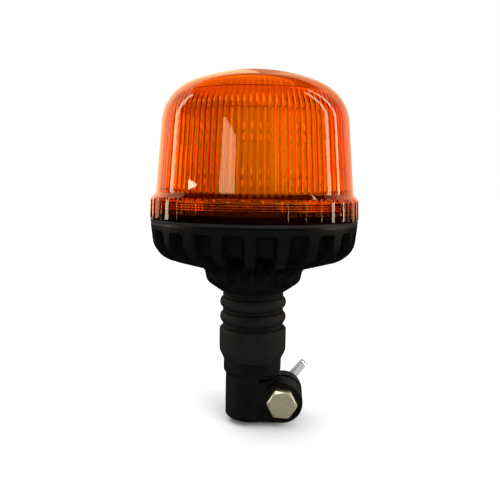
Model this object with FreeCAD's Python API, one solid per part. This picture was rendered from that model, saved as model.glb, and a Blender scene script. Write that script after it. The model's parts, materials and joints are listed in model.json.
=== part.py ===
import FreeCAD, Part
import math
import os

# Amber warning beacon on a flexible pole mount. Millimetres, +Z up.
# The origin is the middle of the socket mouth, where the pole spigot goes in.
# +X points to the clamp ear and the clamp bolt lies along Y, with its head on the -Y side.

V = FreeCAD.Vector
UP = V(0, 0, 1)
BOLTWISE = V(0, 1, 0)
CENTRE = V(0, 0, 0)

# Clearances
RUN_GAP = 0.3            # between curved faces of pieces that move on each other
SEAT_GAP = 0.15          # between curved faces of pieces that are assembled and stay
CUT_OVER = 1.0           # how far a cutter reaches past the face it opens

# Pole socket and clamp sleeve
POLE_R = 12.5            # radius of the pole spigot
POLE_PLAY = 0.1
SOCKET_WALL_H = 45.5     # length of the wall that grips the pole
SOCKET_RELIEF = 0.4
SOCKET_RELIEF_H = 2.5
CONTACT_SEAT_STEP = 0.6
SLEEVE_WALL = 4.7
SLEEVE_H = 30.0
SLEEVE_EDGE = 2.0
SHOULDER_STEP = 1.4
SHOULDER_H = 8.5
TUBE_WALL = 3.0          # wall of the upper tube that the rubber cuff grips
BARB_STEP = 1.9
BARB_H = 4.0
BARB_RISE = 8.0          # from the shoulder top to the barb
TOP_WALL = 6.0           # solid end of the tube above the socket

# Clamp ears, bolt, washer and wing nut
BOLT_R = 5.0
BOLT_PLAY = 0.5
BOLT_WEB = 1.9           # sleeve wall left between the socket and the bolt hole
BOLT_LENGTH = 45.0
BOLT_END_CHAMFER = 1.0
EAR_R = 13.0
EAR_FRONT = 15.4
EAR_REAR = 11.9
EAR_EDGE = 1.2
SLOT_W = 3.0
RELIEF_H = 2.0
RELIEF_HALF_ANGLE = 72.0
HEX_FLATS = 17.0
HEX_H = 6.4
HEX_PROUD = 3.0          # how far the head stands out of its pocket
HEX_PLAY = 0.3
HEX_TURN = 3.0
HEX_BEVEL = 0.7          # height of the bevel at the corners of the head
WASHER_R = 10.0
WASHER_T = 2.0
HUB_R = 9.0
HUB_TOP_R = 7.4
HUB_H = 9.0
WING_REACH = 22.0
WING_RISE = 16.0
WING_T = 4.6
WING_TURN = 45.0

# Flexible rubber neck
CUFF_STEP = 2.9
CUFF_FOOT_STEP = 0.3
CUFF_FLARE_H = 5.5
CUFF_H = 20.1
CUFF_EDGE = 1.6
BULGE_R = 21.3
BULGE_H = 5.8
RIDGE_R = 19.7
RIDGE_H = 1.8
GROOVE_R = 18.2
FINE_GROOVE_R = 18.6
GROOVE_H = 1.0
FOLDS = 2
LEAD_BORE_R = 6.0
CONTACT_BORE_R = 11.5
CONTACT_BORE_H = 9.0
NECK_STUB_R = 14.0       # part of the neck that passes through the floor of the cup
NECK_FLANGE = 7.0
NECK_FLANGE_T = 3.0
NECK_RETAINER_T = 2.0

# Base housing
CUP_FLOOR_T = 4.0
CUP_WALL = 3.2
CUP_FOOT_IN = 5.0        # how far the foot of the cup draws in below the floor
CUP_FLARE = 5.5
CUP_ROUND = 7.0
CUP_BEND_H = 7.2
CUP_H = 15.7
CUP_LEAN = 1.6
CUP_MOUTH_ROUND = 5.0
BOWL_SLOPE = 15.6
BOWL_DRAFT = 6.6
BOWL_ROUND = 14.0
BASE_H = 44.1            # from the foot of the cup to the top edge of the bowl
BASE_WALL = 3.5
FINS = 24
POCKET_ANGLE = 8.7
POCKET_DEPTH = 5.5
POCKET_CUP_DEPTH = 1.0
POCKET_TOP_DROP = 4.2
POCKET_ROUND = 2.6
SEAL_GROOVE_H = 0.7
SEAL_GROOVE_DEPTH = 1.0
GASKET_T = 1.7
RIM_H = 8.7              # rim of the base inside the lens skirt
RIM_WALL = 2.0
PLATE_DROP = 3.0         # from the rim top to the ledge under the chassis plate

# Lens
COLLAR_R = 64.7
COLLAR_DRAFT = 0.5
BASE_PROUD = 0.2
SKIRT_WALL = 2.1
SKIRT_H = 13.3
SKIRT_INNER_H = 12.0
COLLAR_STEP = 3.1
COLLAR_BEVEL_H = 2.7
GRIPS = 40
GRIP_W = 3.2
GRIP_T = 0.6
GRIP_FOOT = 0.9
LENS_WALL = 2.5
DOME_H = 90.5
DOME_DRAFT = 4.8
SHOULDER_ROUND = 26.5
CROWN_R = 105.0
FLUTES = 90
FLUTE_W = 2.6
FLUTE_DEPTH = 0.7
FLUTE_FOOT = 6.0

# Light source
PLATE_T = 2.0
TOWER_SIDES = 8
TOWER_FLATS = 58.0
TOWER_WALL = 3.0
TOWER_H = 60.0
TOWER_FLANGE = 8.0
TOWER_FLANGE_T = 2.5
TOWER_WEB_T = 3.0
LED_GROUPS = 2           # groups of LEDs on each side of the tower
LED_GROUP_PITCH = 26.0
LEDS_IN_GROUP = 2
LED_PITCH = 6.6
LED_FIRST = 15.9         # from the chassis plate to the lowest LED
BOARD_T = 1.6
BOARD_MARGIN = 1.0
BOARD_FOOT = 4.0
EMITTER_W = 2.4
EMITTER_T = 0.6
OPTIC_R = 3.0
OPTIC_H = 2.8
OPTIC_ROUND = 2.4
CAP_T = 3.0
CAP_OVERHANG = 2.0

# Driver electronics
DRIVER_R = 40.0
DRIVER_T = 1.6
DRIVER_BORE_R = 5.0
DRIVER_DROP = 14.0       # from the chassis plate down to the board's top
BOSS_R = 4.0
DRIVER_BOSS_RING = 34.0
CAPACITOR_R = 5.0
CAPACITOR_H = 11.0
INDUCTOR_R = 8.0
INDUCTOR_BORE_R = 3.6
INDUCTOR_H = 7.0
CHIP_W = 6.0
CHIP_T = 2.2
TERMINAL_W = 10.0
TERMINAL_H = 9.0
PART_RING = 24.0         # circle on which the parts of the driver stand

# Screws with pan heads
SCREW_R = 1.5
SCREW_HEAD_R = 2.8
SCREW_HEAD_H = 2.0
SCREW_BITE = 6.0
SCREW_COUNT = 4

# Pole contacts
EARTH_T = 0.8
EARTH_LAND = 0.5
EARTH_TAB_W = 3.0
EARTH_TAB_T = 0.6
CARRIER_FLANGE_T = 2.5
CARRIER_R = 8.8
CARRIER_TOP = 3.5        # carrier above the end of the tube
CARRIER_ROOF_T = 3.0
CLIP_T = 1.0
CLIP_BITE = 0.9
CLIP_R = 10.8
PIN_HEAD_R = 4.5
PIN_OUT = 2.0            # how far the pin stands out below the earth ring
PIN_HEAD_IN = 1.7        # length of the head inside the carrier at rest
PIN_STEM_R = 2.0
PIN_COLLAR_R = 3.4
PIN_COLLAR_T = 1.2
SPRING_WIRE_R = 0.4
SPRING_TURNS = 4
SPRING_STEPS = 16
SPRING_SIDES = 8

# Leads
LEAD_R = 2.4
LEAD_BEND = 6.0
GROMMET_WALL = 3.0
GROMMET_LIP = 1.6
GROMMET_LIP_T = 1.2
LED_LEAD_R = 0.9
LED_LEAD_BEND = 5.0
LED_LEAD_SPREAD = 4.0

# Sizes that follow
socket_r = POLE_R + POLE_PLAY
contact_seat_r = socket_r - CONTACT_SEAT_STEP
contact_flange_r = contact_seat_r - SEAT_GAP
z_earth = SOCKET_WALL_H + SOCKET_RELIEF_H
z_carrier = z_earth + EARTH_T
sleeve_r = socket_r + SLEEVE_WALL
shoulder_r = sleeve_r + SHOULDER_STEP
tube_r = socket_r + TUBE_WALL
barb_r = tube_r + BARB_STEP
z_cuff = SLEEVE_H + SHOULDER_H
z_socket_end = z_carrier + CARRIER_FLANGE_T
z_tube_top = z_socket_end + TOP_WALL
cuff_r = shoulder_r + CUFF_STEP
z_bellows = z_cuff + CUFF_H
fold_pitch = RIDGE_H + BULGE_H + 2 * GROOVE_H
z_base = z_bellows + GROOVE_H + FOLDS * fold_pitch + RIDGE_H + GROOVE_H
z_floor = z_base + CUP_FLOOR_T
neck_flange_r = NECK_STUB_R + NECK_FLANGE
z_neck_top = z_floor + NECK_FLANGE_T
z_retainer_top = z_neck_top + NECK_RETAINER_T

bolt_x = socket_r + BOLT_WEB + BOLT_R + BOLT_PLAY
bolt_z = EAR_R
bolt_hole_r = BOLT_R + BOLT_PLAY

base_r = COLLAR_R + BASE_PROUD
skirt_in_r = COLLAR_R - SKIRT_WALL
rim_r = skirt_in_r - 2 * RUN_GAP
z_bowl_top = z_base + BASE_H
z_gasket = z_bowl_top + SEAL_GROOVE_H
z_lens = z_gasket + GASKET_T
z_rim_top = z_gasket + RIM_H
z_ledge = z_rim_top - PLATE_DROP
z_plate_top = z_ledge + PLATE_T
plate_r = rim_r - RIM_WALL - RUN_GAP
led_lead_y = -DRIVER_BORE_R - 2 * LED_LEAD_R
plate_bore_r = math.hypot(led_lead_y - LED_LEAD_R, LED_LEAD_SPREAD / 2 + LED_LEAD_R) + RUN_GAP
z_driver_top = z_ledge - DRIVER_DROP
z_driver = z_driver_top - DRIVER_T

tower_in = TOWER_FLATS / 2
tower_flange_r = tower_in / math.cos(math.pi / TOWER_SIDES) + TOWER_FLANGE
tower_screw_ring = tower_flange_r - SCREW_HEAD_R - RUN_GAP
z_tower_top = z_plate_top + TOWER_H
face_w = 2 * tower_in * math.tan(math.pi / TOWER_SIDES)
cavity_floor_r = neck_flange_r + RUN_GAP
neck_screw_ring = (NECK_STUB_R + neck_flange_r) / 2
z_carrier_top = z_tube_top + CARRIER_TOP
carrier_bore_r = PIN_HEAD_R + RUN_GAP
lead_hole_r = LEAD_R + SEAT_GAP
earth_tab_out = CARRIER_R - CLIP_BITE - EARTH_TAB_T
earth_tab_in = earth_tab_out - EARTH_TAB_T


def in_section(r, z):
    """Point of a section that is turned about the Z axis."""
    return V(r, 0, z)


def outline(corners, place):
    """Closed wire through (a, b) or (a, b, round) corners; a round is limited by its two sides."""
    count = len(corners)
    spans = []
    for i in range(count):
        here = V(corners[i][0], corners[i][1], 0)
        before = V(*corners[i - 1][:2], 0) - here
        after = V(*corners[(i + 1) % count][:2], 0) - here
        half = before.getAngle(after) / 2
        wanted = corners[i][2] if len(corners[i]) > 2 else 0
        if wanted == 0:
            spans.append((here, None, here))
            continue
        run = min(wanted / math.tan(half), 0.49 * before.Length, 0.49 * after.Length)
        before.normalize()
        after.normalize()
        inward = before + after
        inward.normalize()
        radius = run * math.tan(half)
        middle = here + inward * (radius / math.sin(half) - radius)
        spans.append((here + before * run, middle, here + after * run))
    edges = []
    for i in range(count):
        start, middle, end = [p and place(p.x, p.y) for p in spans[i]]
        if middle:
            edges.append(Part.Arc(start, middle, end).toShape())
        following = spans[(i + 1) % count][0]
        following = place(following.x, following.y)
        if (following - end).Length > 1e-6:
            edges.append(Part.LineSegment(end, following).toShape())
    return Part.Wire(edges)


def turned(corners, angle=360.0, start=0.0):
    """Solid of revolution about Z from section corners, over an angle that begins at start."""
    face = Part.Face(outline(corners, in_section))
    face.rotate(CENTRE, UP, start)
    return face.revolve(CENTRE, UP, angle)


def disc(r, z0, z1, x=0.0, y=0.0):
    return Part.makeCylinder(r, z1 - z0, V(x, y, z0))


def ring(r_out, r_in, z0, z1, x=0.0, y=0.0):
    return disc(r_out, z0, z1, x, y).cut(disc(r_in, z0, z1, x, y))


def block(x0, x1, y0, y1, z0, z1):
    return Part.makeBox(x1 - x0, y1 - y0, z1 - z0, V(x0, y0, z0))


def around(shape, count, start=0.0):
    """Copies of a shape spaced evenly about the Z axis."""
    copies = []
    for i in range(count):
        copy = shape.copy()
        copy.rotate(CENTRE, UP, start + 360.0 * i / count)
        copies.append(copy)
    return copies


def prism(sides, flats, z0, z1, turn=0.0):
    """Upright regular prism, given the distance across its flats."""
    corner_r = flats / 2 / math.cos(math.pi / sides)
    points = []
    for i in range(sides + 1):
        a = math.radians(turn) + 2 * math.pi * (i + 0.5) / sides
        points.append(V(corner_r * math.cos(a), corner_r * math.sin(a), z0))
    return Part.Face(Part.makePolygon(points)).extrude(V(0, 0, z1 - z0))


def screw(r, angle, z_seat, length):
    """Pan-head screw pointing down, on a circle of radius r."""
    corners = [
        (0, z_seat - length),
        (SCREW_R, z_seat - length),
        (SCREW_R, z_seat),
        (SCREW_HEAD_R, z_seat),
        (SCREW_HEAD_R, z_seat + SCREW_HEAD_H, SCREW_HEAD_H / 2),
        (0, z_seat + SCREW_HEAD_H),
    ]
    body = turned(corners)
    body.translate(V(r, 0, 0))
    body.rotate(CENTRE, UP, angle)
    return body


def screw_hole(r, z0, z1, gap=SEAT_GAP):
    return disc(SCREW_R + gap, z0, z1, x=r)


def bent_tube(radius, start, corner, end, bend):
    """Round tube along two straight runs joined by a tangent arc."""
    first = (start - corner).normalize()
    second = (end - corner).normalize()
    half = first.getAngle(second) / 2
    run = bend / math.tan(half)
    inward = (first + second).normalize()
    middle = corner + inward * (bend / math.sin(half) - bend)
    a = corner + first * run
    b = corner + second * run
    path = Part.Wire([
        Part.LineSegment(start, a).toShape(),
        Part.Arc(a, middle, b).toShape(),
        Part.LineSegment(b, end).toShape(),
    ])
    section = Part.Wire(Part.makeCircle(radius, start, corner - start))
    return path.makePipeShell([section], True, False)


# Clamp sleeve: socket for the pole, two ears with a slot between them, tube for the rubber cuff

def on_bolt(shape):
    """Move a shape that was made about Y to the axis of the clamp bolt."""
    shape.translate(V(bolt_x, 0, bolt_z))
    return shape


def about_bolt(corners):
    """Solid of revolution about the bolt axis, from (radius, y) corners."""
    face = Part.Face(outline(corners, lambda r, y: V(r, y, 0)))
    return on_bolt(face.revolve(CENTRE, BOLTWISE, 360))


def hex_bar(flats, y0, y1):
    bar = prism(6, flats, -y1, -y0, turn=30 - HEX_TURN)
    bar.rotate(CENTRE, V(1, 0, 0), 90)
    return on_bolt(bar)


def clamp_sleeve():
    z_barb = z_cuff + BARB_RISE
    carrier_hole_r = CARRIER_R + SEAT_GAP
    body = turned([
        (contact_seat_r, 0),
        (sleeve_r, 0, SLEEVE_EDGE),
        (sleeve_r, SLEEVE_H - SHOULDER_STEP, SHOULDER_STEP),
        (shoulder_r, SLEEVE_H + SHOULDER_STEP / 2, SHOULDER_STEP),
        (shoulder_r, z_cuff),
        (tube_r, z_cuff),
        (tube_r, z_barb),
        (barb_r, z_barb),
        (barb_r, z_barb + BARB_H / 2),
        (tube_r, z_barb + BARB_H),
        (tube_r, z_tube_top),
        (carrier_hole_r, z_tube_top),
        (carrier_hole_r, z_socket_end),
        (contact_seat_r, z_socket_end),
        (contact_seat_r, z_earth),
    ])
    ear = about_bolt([
        (0, -EAR_FRONT),
        (EAR_R, -EAR_FRONT, EAR_EDGE),
        (EAR_R, EAR_REAR, EAR_EDGE),
        (0, EAR_REAR),
    ])
    web_corners = [
        (-EAR_FRONT, 0, EAR_EDGE),
        (EAR_REAR, 0, EAR_EDGE),
        (EAR_REAR, bolt_z),
        (-EAR_FRONT, bolt_z),
    ]
    web = Part.Face(outline(web_corners, lambda y, z: V(0, y, z))).extrude(V(bolt_x, 0, 0))
    body = body.fuse([ear, web])

    relief_z = 2 * EAR_R
    slot = block(0, bolt_x + EAR_R + CUT_OVER, -SLOT_W / 2, SLOT_W / 2, -CUT_OVER, relief_z + RELIEF_H)
    relief = turned([
        (socket_r - CUT_OVER, relief_z),
        (shoulder_r + CUT_OVER, relief_z),
        (shoulder_r + CUT_OVER, relief_z + RELIEF_H),
        (socket_r - CUT_OVER, relief_z + RELIEF_H),
    ], 2 * RELIEF_HALF_ANGLE, -RELIEF_HALF_ANGLE)
    socket = turned([
        (0, -CUT_OVER),
        (socket_r, -CUT_OVER),
        (socket_r, SOCKET_WALL_H),
        (socket_r + SOCKET_RELIEF, SOCKET_WALL_H),
        (socket_r + SOCKET_RELIEF, z_earth),
        (contact_seat_r, z_earth),
        (contact_seat_r, z_socket_end),
        (0, z_socket_end),
    ])
    bolt_hole = about_bolt([
        (0, -EAR_FRONT - CUT_OVER),
        (bolt_hole_r, -EAR_FRONT - CUT_OVER),
        (bolt_hole_r, EAR_REAR + CUT_OVER),
        (0, EAR_REAR + CUT_OVER),
    ])
    spot_face = about_bolt([
        (0, EAR_REAR),
        (WASHER_R + BOLT_PLAY, EAR_REAR),
        (WASHER_R + BOLT_PLAY, sleeve_r + CUT_OVER),
        (0, sleeve_r + CUT_OVER),
    ])
    pocket_floor = HEX_H - HEX_PROUD - EAR_FRONT
    pocket = hex_bar(HEX_FLATS + 2 * HEX_PLAY, -EAR_FRONT - CUT_OVER, pocket_floor)
    return body.cut([slot, relief, socket, bolt_hole, spot_face, pocket]).removeSplitter()


def clamp_bolt():
    face_y = -EAR_FRONT - HEX_PROUD
    seat_y = face_y + HEX_H
    corner_r = HEX_FLATS / 2 / math.cos(math.pi / 6)
    bevel = about_bolt([
        (0, face_y),
        (HEX_FLATS / 2 - HEX_BEVEL / 2, face_y),
        (corner_r, face_y + HEX_BEVEL),
        (corner_r, seat_y),
        (0, seat_y),
    ])
    head = hex_bar(HEX_FLATS, face_y, seat_y).common(bevel)
    shank = about_bolt([
        (0, seat_y),
        (BOLT_R, seat_y),
        (BOLT_R, seat_y + BOLT_LENGTH - BOLT_END_CHAMFER),
        (BOLT_R - BOLT_END_CHAMFER, seat_y + BOLT_LENGTH),
        (0, seat_y + BOLT_LENGTH),
    ])
    return head.fuse(shank).removeSplitter()


def nut_washer():
    return about_bolt([
        (BOLT_R + RUN_GAP, EAR_REAR),
        (WASHER_R, EAR_REAR),
        (WASHER_R, EAR_REAR + WASHER_T),
        (BOLT_R + RUN_GAP, EAR_REAR + WASHER_T),
    ])


def wing_nut():
    seat_y = EAR_REAR + WASHER_T
    hub = about_bolt([
        (0, seat_y),
        (HUB_R, seat_y),
        (HUB_TOP_R, seat_y + HUB_H, HUB_TOP_R / 6),
        (0, seat_y + HUB_H),
    ])
    tip_r = (WING_REACH - HUB_TOP_R) / 3
    wing_corners = [
        (0, seat_y + HUB_H / 6),
        (HUB_R, seat_y + HUB_H / 6, tip_r),
        (WING_REACH, seat_y + HUB_H, tip_r),
        (WING_REACH - tip_r / 4, seat_y + WING_RISE, tip_r),
        (WING_REACH - 2 * tip_r, seat_y + HUB_H + tip_r / 2, tip_r),
        (0, seat_y + HUB_H * 5 / 6),
    ]
    section = outline(wing_corners, lambda r, y: V(r, y, -WING_T / 2))
    wing = Part.Face(section).extrude(V(0, 0, WING_T))
    wings = []
    for turn in (-WING_TURN, 180 - WING_TURN):
        copy = wing.copy()
        copy.rotate(CENTRE, BOLTWISE, turn)
        wings.append(on_bolt(copy))
    bore = about_bolt([
        (0, seat_y - CUT_OVER),
        (BOLT_R + RUN_GAP, seat_y - CUT_OVER),
        (BOLT_R + RUN_GAP, seat_y + WING_RISE),
        (0, seat_y + WING_RISE),
    ])
    return hub.fuse(wings).cut(bore).removeSplitter()


# Flexible neck: cuff, bellows and a flange that the base holds from inside

def lobe(r, z, height, foot_r, top_r):
    """Corners of one rounded fold of the bellows, with the grooves at its foot and top."""
    soft = height / 2
    return [
        (foot_r, z),
        (r, z + height * 0.04, soft),
        (r, z + height * 0.96, soft),
        (top_r, z + height),
    ]


def neck_outside():
    corners = [
        (tube_r + SEAT_GAP, z_cuff),
        (shoulder_r + CUFF_FOOT_STEP, z_cuff),
        (cuff_r, z_cuff + CUFF_FLARE_H, CUFF_FLARE_H),
        (cuff_r, z_bellows, CUFF_EDGE),
        (FINE_GROOVE_R, z_bellows + GROOVE_H / 3),
    ]
    z = z_bellows + GROOVE_H
    for fold in range(FOLDS):
        corners += lobe(RIDGE_R, z, RIDGE_H, FINE_GROOVE_R, FINE_GROOVE_R)
        z += RIDGE_H + GROOVE_H
        corners += lobe(BULGE_R, z, BULGE_H, FINE_GROOVE_R, GROOVE_R)
        z += BULGE_H + GROOVE_H
    corners += lobe(RIDGE_R, z, RIDGE_H, GROOVE_R, FINE_GROOVE_R)
    corners.append((FINE_GROOVE_R, z_base))
    return corners


def flex_neck():
    z_barb = z_cuff + BARB_RISE
    corners = neck_outside() + [
        (NECK_STUB_R, z_base),
        (NECK_STUB_R, z_floor),
        (neck_flange_r, z_floor),
        (neck_flange_r, z_neck_top, NECK_FLANGE_T / 3),
        (LEAD_BORE_R, z_neck_top),
        (LEAD_BORE_R, z_tube_top + CONTACT_BORE_H),
        (CONTACT_BORE_R, z_tube_top + CONTACT_BORE_H),
        (CONTACT_BORE_R, z_tube_top),
        (tube_r + SEAT_GAP, z_tube_top),
        (tube_r + SEAT_GAP, z_barb + BARB_H + SEAT_GAP),
        (barb_r + SEAT_GAP, z_barb + BARB_H / 2 + SEAT_GAP),
        (barb_r + SEAT_GAP, z_barb - SEAT_GAP),
        (tube_r + SEAT_GAP, z_barb - SEAT_GAP),
    ]
    holes = around(screw_hole(neck_screw_ring, z_floor, z_neck_top, RUN_GAP), SCREW_COUNT)
    return turned(corners).cut(holes)


def neck_retainer():
    plate = ring(neck_flange_r, lead_hole_r + GROMMET_WALL, z_neck_top, z_retainer_top)
    return plate.cut(around(screw_hole(neck_screw_ring, z_neck_top, z_retainer_top), SCREW_COUNT))


def neck_screws():
    length = NECK_RETAINER_T + NECK_FLANGE_T + CUP_FLOOR_T * 0.7
    return [screw(neck_screw_ring, 360 * i / SCREW_COUNT, z_retainer_top, length) for i in range(SCREW_COUNT)]


def lead_grommet():
    bush_r = lead_hole_r + GROMMET_WALL - SEAT_GAP
    return turned([
        (lead_hole_r, z_neck_top),
        (bush_r, z_neck_top),
        (bush_r, z_retainer_top),
        (bush_r + GROMMET_LIP, z_retainer_top),
        (bush_r + GROMMET_LIP, z_retainer_top + GROMMET_LIP_T, GROMMET_LIP_T / 2),
        (lead_hole_r, z_retainer_top + GROMMET_LIP_T),
    ])


# Base housing: cup, finned bowl, seal groove and rim

def offset_corner(before, here, after, distance):
    """Corner of a section moved inward so that both of its sides move by the same distance."""
    a = V(*before, 0) - V(*here, 0)
    b = V(*after, 0) - V(*here, 0)
    half = a.getAngle(b) / 2
    inward = a.normalize() + b.normalize()
    inward.normalize()
    moved = V(*here, 0) + inward * (distance / math.sin(half))
    return (moved.x, moved.y)


floor_out_r = cavity_floor_r + CUP_WALL
cup_foot = (floor_out_r - CUP_FOOT_IN, z_base)
cup_bend = (floor_out_r + CUP_FLARE, z_base + CUP_BEND_H)
cup_mouth = (cup_bend[0] + CUP_LEAN, z_base + CUP_H)
bowl_top = (base_r, z_bowl_top)
slope = math.tan(math.radians(BOWL_SLOPE))
draft = math.tan(math.radians(BOWL_DRAFT))
bowl_edge_r = (base_r - draft * (z_bowl_top - cup_mouth[1] + slope * cup_mouth[0])) / (1 - draft * slope)
bowl_edge = (bowl_edge_r, cup_mouth[1] + slope * (bowl_edge_r - cup_mouth[0]))
pocket_edge = offset_corner(cup_mouth, bowl_edge, bowl_top, POCKET_DEPTH)
cavity_edge = offset_corner(cup_mouth, bowl_edge, bowl_top, POCKET_DEPTH + BASE_WALL)
z_pocket_top = z_bowl_top - POCKET_TOP_DROP
cavity_cup_r = cup_mouth[0] - POCKET_CUP_DEPTH - BASE_WALL


def bowl_floor_z(edge, r):
    """Height of a bowl floor that is parallel to the outside and passes through an edge point."""
    return edge[1] - slope * (edge[0] - r)


def bowl_wall_r(edge, z):
    """Radius of a bowl wall that is parallel to the outside and passes through an edge point."""
    return edge[0] + draft * (z - edge[1])


def fin_pocket():
    """Space between two fins: a sector cut to a floor that follows the outside of the bowl."""
    inner_r = cup_mouth[0] - POCKET_CUP_DEPTH
    outer_r = base_r + CUT_OVER
    low_z = z_base + CUP_BEND_H / 2
    sector = turned([
        (inner_r, low_z),
        (inner_r, bowl_floor_z(pocket_edge, inner_r), POCKET_CUP_DEPTH),
        (*pocket_edge, BOWL_ROUND - POCKET_DEPTH),
        (bowl_wall_r(pocket_edge, z_pocket_top), z_pocket_top),
        (outer_r, z_pocket_top),
        (outer_r, low_z),
    ], POCKET_ANGLE, -POCKET_ANGLE / 2)
    tops = [e for e in sector.Edges if is_radial_at(e, z_pocket_top)]
    return sector.makeFillet(POCKET_ROUND, tops)


def is_radial_at(edge, z):
    """True for a straight edge that lies at height z."""
    flat = all(abs(v.Point.z - z) < 1e-6 for v in edge.Vertexes)
    return flat and isinstance(edge.Curve, Part.Line)


def boss(r, z_low, z_top):
    return disc(BOSS_R, z_low, z_top, x=r)


plate_screw_ring = bowl_wall_r(cavity_edge, z_ledge) - BOSS_R + BASE_WALL / 2


def base_housing():
    ledge_r = rim_r - RIM_WALL
    cavity_wall_r = bowl_wall_r(cavity_edge, z_ledge)
    bowl = turned([
        (*cup_foot, SHOULDER_STEP),
        (*cup_bend, CUP_ROUND),
        (*cup_mouth, CUP_MOUTH_ROUND),
        (*bowl_edge, BOWL_ROUND),
        bowl_top,
        (base_r - SEAL_GROOVE_DEPTH, z_bowl_top),
        (base_r - SEAL_GROOVE_DEPTH, z_gasket),
        (rim_r, z_gasket),
        (rim_r, z_rim_top),
        (ledge_r, z_rim_top),
        (ledge_r, z_ledge),
        (cavity_wall_r, z_ledge),
        (*cavity_edge, BOWL_ROUND / 3),
        (cavity_cup_r, bowl_floor_z(cavity_edge, cavity_cup_r), CUP_WALL),
        (cavity_cup_r, z_base + CUP_BEND_H + CUP_FLOOR_T),
        (cavity_floor_r, z_floor),
        (NECK_STUB_R + RUN_GAP, z_floor),
        (NECK_STUB_R + RUN_GAP, z_base),
    ])
    bowl = bowl.cut(around(fin_pocket(), FINS, -90 + 180 / FINS))
    board_foot_z = bowl_floor_z(cavity_edge, DRIVER_BOSS_RING - BOSS_R) - BASE_WALL / 2
    plate_foot_z = bowl_floor_z(cavity_edge, plate_screw_ring - BOSS_R) - BASE_WALL / 2
    bosses = around(boss(DRIVER_BOSS_RING, board_foot_z, z_driver), SCREW_COUNT, 45)
    bosses += around(boss(plate_screw_ring, plate_foot_z, z_ledge), SCREW_COUNT)
    holes = around(screw_hole(DRIVER_BOSS_RING, z_driver - SCREW_BITE, z_driver), SCREW_COUNT, 45)
    holes += around(screw_hole(plate_screw_ring, z_ledge - SCREW_BITE, z_ledge), SCREW_COUNT)
    holes += around(screw_hole(neck_screw_ring, z_floor - CUP_FLOOR_T * 0.75, z_floor), SCREW_COUNT)
    return bowl.fuse(bosses).cut(holes).removeSplitter()


# Lens and its seal

def lens_gasket():
    return ring(base_r, rim_r + SEAT_GAP, z_gasket, z_lens)


dome_foot = V(COLLAR_R - COLLAR_STEP, z_lens + SKIRT_H + COLLAR_BEVEL_H, 0)
lean = math.radians(DOME_DRAFT)
wall_up = V(-math.sin(lean), math.cos(lean), 0)
wall_in = V(-math.cos(lean), -math.sin(lean), 0)
crown_centre = V(0, z_lens + DOME_H - CROWN_R, 0)


def shoulder_centre():
    """Centre of the round that touches the dome's wall and its crown."""
    start = dome_foot + wall_in * SHOULDER_ROUND - crown_centre
    reach = CROWN_R - SHOULDER_ROUND
    along = start.dot(wall_up)
    rise = -along + math.sqrt(along ** 2 - start.dot(start) + reach ** 2)
    return start + crown_centre + wall_up * rise


def dome_points(inset):
    """Wall top, shoulder middle, crown edge, crown middle and apex, moved in by inset."""
    centre = shoulder_centre()
    crown_way = (centre - crown_centre).normalize()
    shoulder_way = (crown_way - wall_in).normalize()
    crown_half = (crown_way + V(0, 1, 0)).normalize()
    wall_top = centre - wall_in * (SHOULDER_ROUND - inset)
    shoulder_mid = centre + shoulder_way * (SHOULDER_ROUND - inset)
    crown_edge = crown_centre + crown_way * (CROWN_R - inset)
    crown_mid = crown_centre + crown_half * (CROWN_R - inset)
    apex = crown_centre + V(0, CROWN_R - inset, 0)
    return [V(p.x, 0, p.y) for p in (wall_top, shoulder_mid, crown_edge, crown_mid, apex)]


def wall_point(inset, z):
    """Point on the dome's wall, moved in by inset, at height z."""
    start = dome_foot + wall_in * inset
    point = start + wall_up * ((z - start.y) / wall_up.y)
    return V(point.x, 0, point.y)


def lens_section():
    outer = dome_points(0)
    inner = dome_points(LENS_WALL)
    z_step = z_lens + SKIRT_INNER_H
    line_points = [
        inner[0],
        wall_point(LENS_WALL, z_step),
        V(skirt_in_r, 0, z_step),
        V(skirt_in_r, 0, z_lens),
        V(COLLAR_R, 0, z_lens),
        V(COLLAR_R - COLLAR_DRAFT, 0, z_lens + SKIRT_H),
        V(dome_foot.x, 0, dome_foot.y),
        outer[0],
    ]
    edges = [Part.LineSegment(a, b).toShape() for a, b in zip(line_points, line_points[1:])]
    edges.append(Part.Arc(outer[0], outer[1], outer[2]).toShape())
    edges.append(Part.Arc(outer[2], outer[3], outer[4]).toShape())
    edges.append(Part.LineSegment(outer[4], inner[4]).toShape())
    edges.append(Part.Arc(inner[4], inner[3], inner[2]).toShape())
    edges.append(Part.Arc(inner[2], inner[1], inner[0]).toShape())
    return Part.Face(Part.Wire(Part.__sortEdges__(edges)))


def grip_strip():
    """One raised strip on the skirt, to turn the lens by hand when it is fitted."""
    z0 = z_lens + GRIP_FOOT
    z1 = z_lens + SKIRT_H - GRIP_FOOT
    angle = math.degrees(GRIP_W / COLLAR_R)
    return turned([
        (COLLAR_R - SKIRT_WALL / 2, z0),
        (COLLAR_R + GRIP_T, z0, GRIP_T),
        (COLLAR_R + GRIP_T - COLLAR_DRAFT, z1, GRIP_T),
        (COLLAR_R - SKIRT_WALL / 2, z1),
    ], angle, -angle / 2)


def flute():
    """Cutter for one upright optical groove on the inside of the dome's wall."""
    foot = wall_point(LENS_WALL, z_lens + SKIRT_H + FLUTE_FOOT)
    top = dome_points(LENS_WALL)[0]
    inward = V(wall_in.x, 0, wall_in.y)
    side = V(0, FLUTE_W / 2, 0)
    deep = foot - inward * FLUTE_DEPTH
    near = foot + inward * FLUTE_DEPTH / 2
    face = Part.Face(Part.makePolygon([deep, near + side, near - side, deep]))
    return face.extrude(top - foot)


def dome_lens():
    shell = lens_section().revolve(CENTRE, UP, 360)
    shell = shell.cut(around(flute(), FLUTES))
    return shell.fuse(around(grip_strip(), GRIPS)).removeSplitter()


# Light source: chassis plate, octagonal tower, boards, emitters, optics and cap

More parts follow.
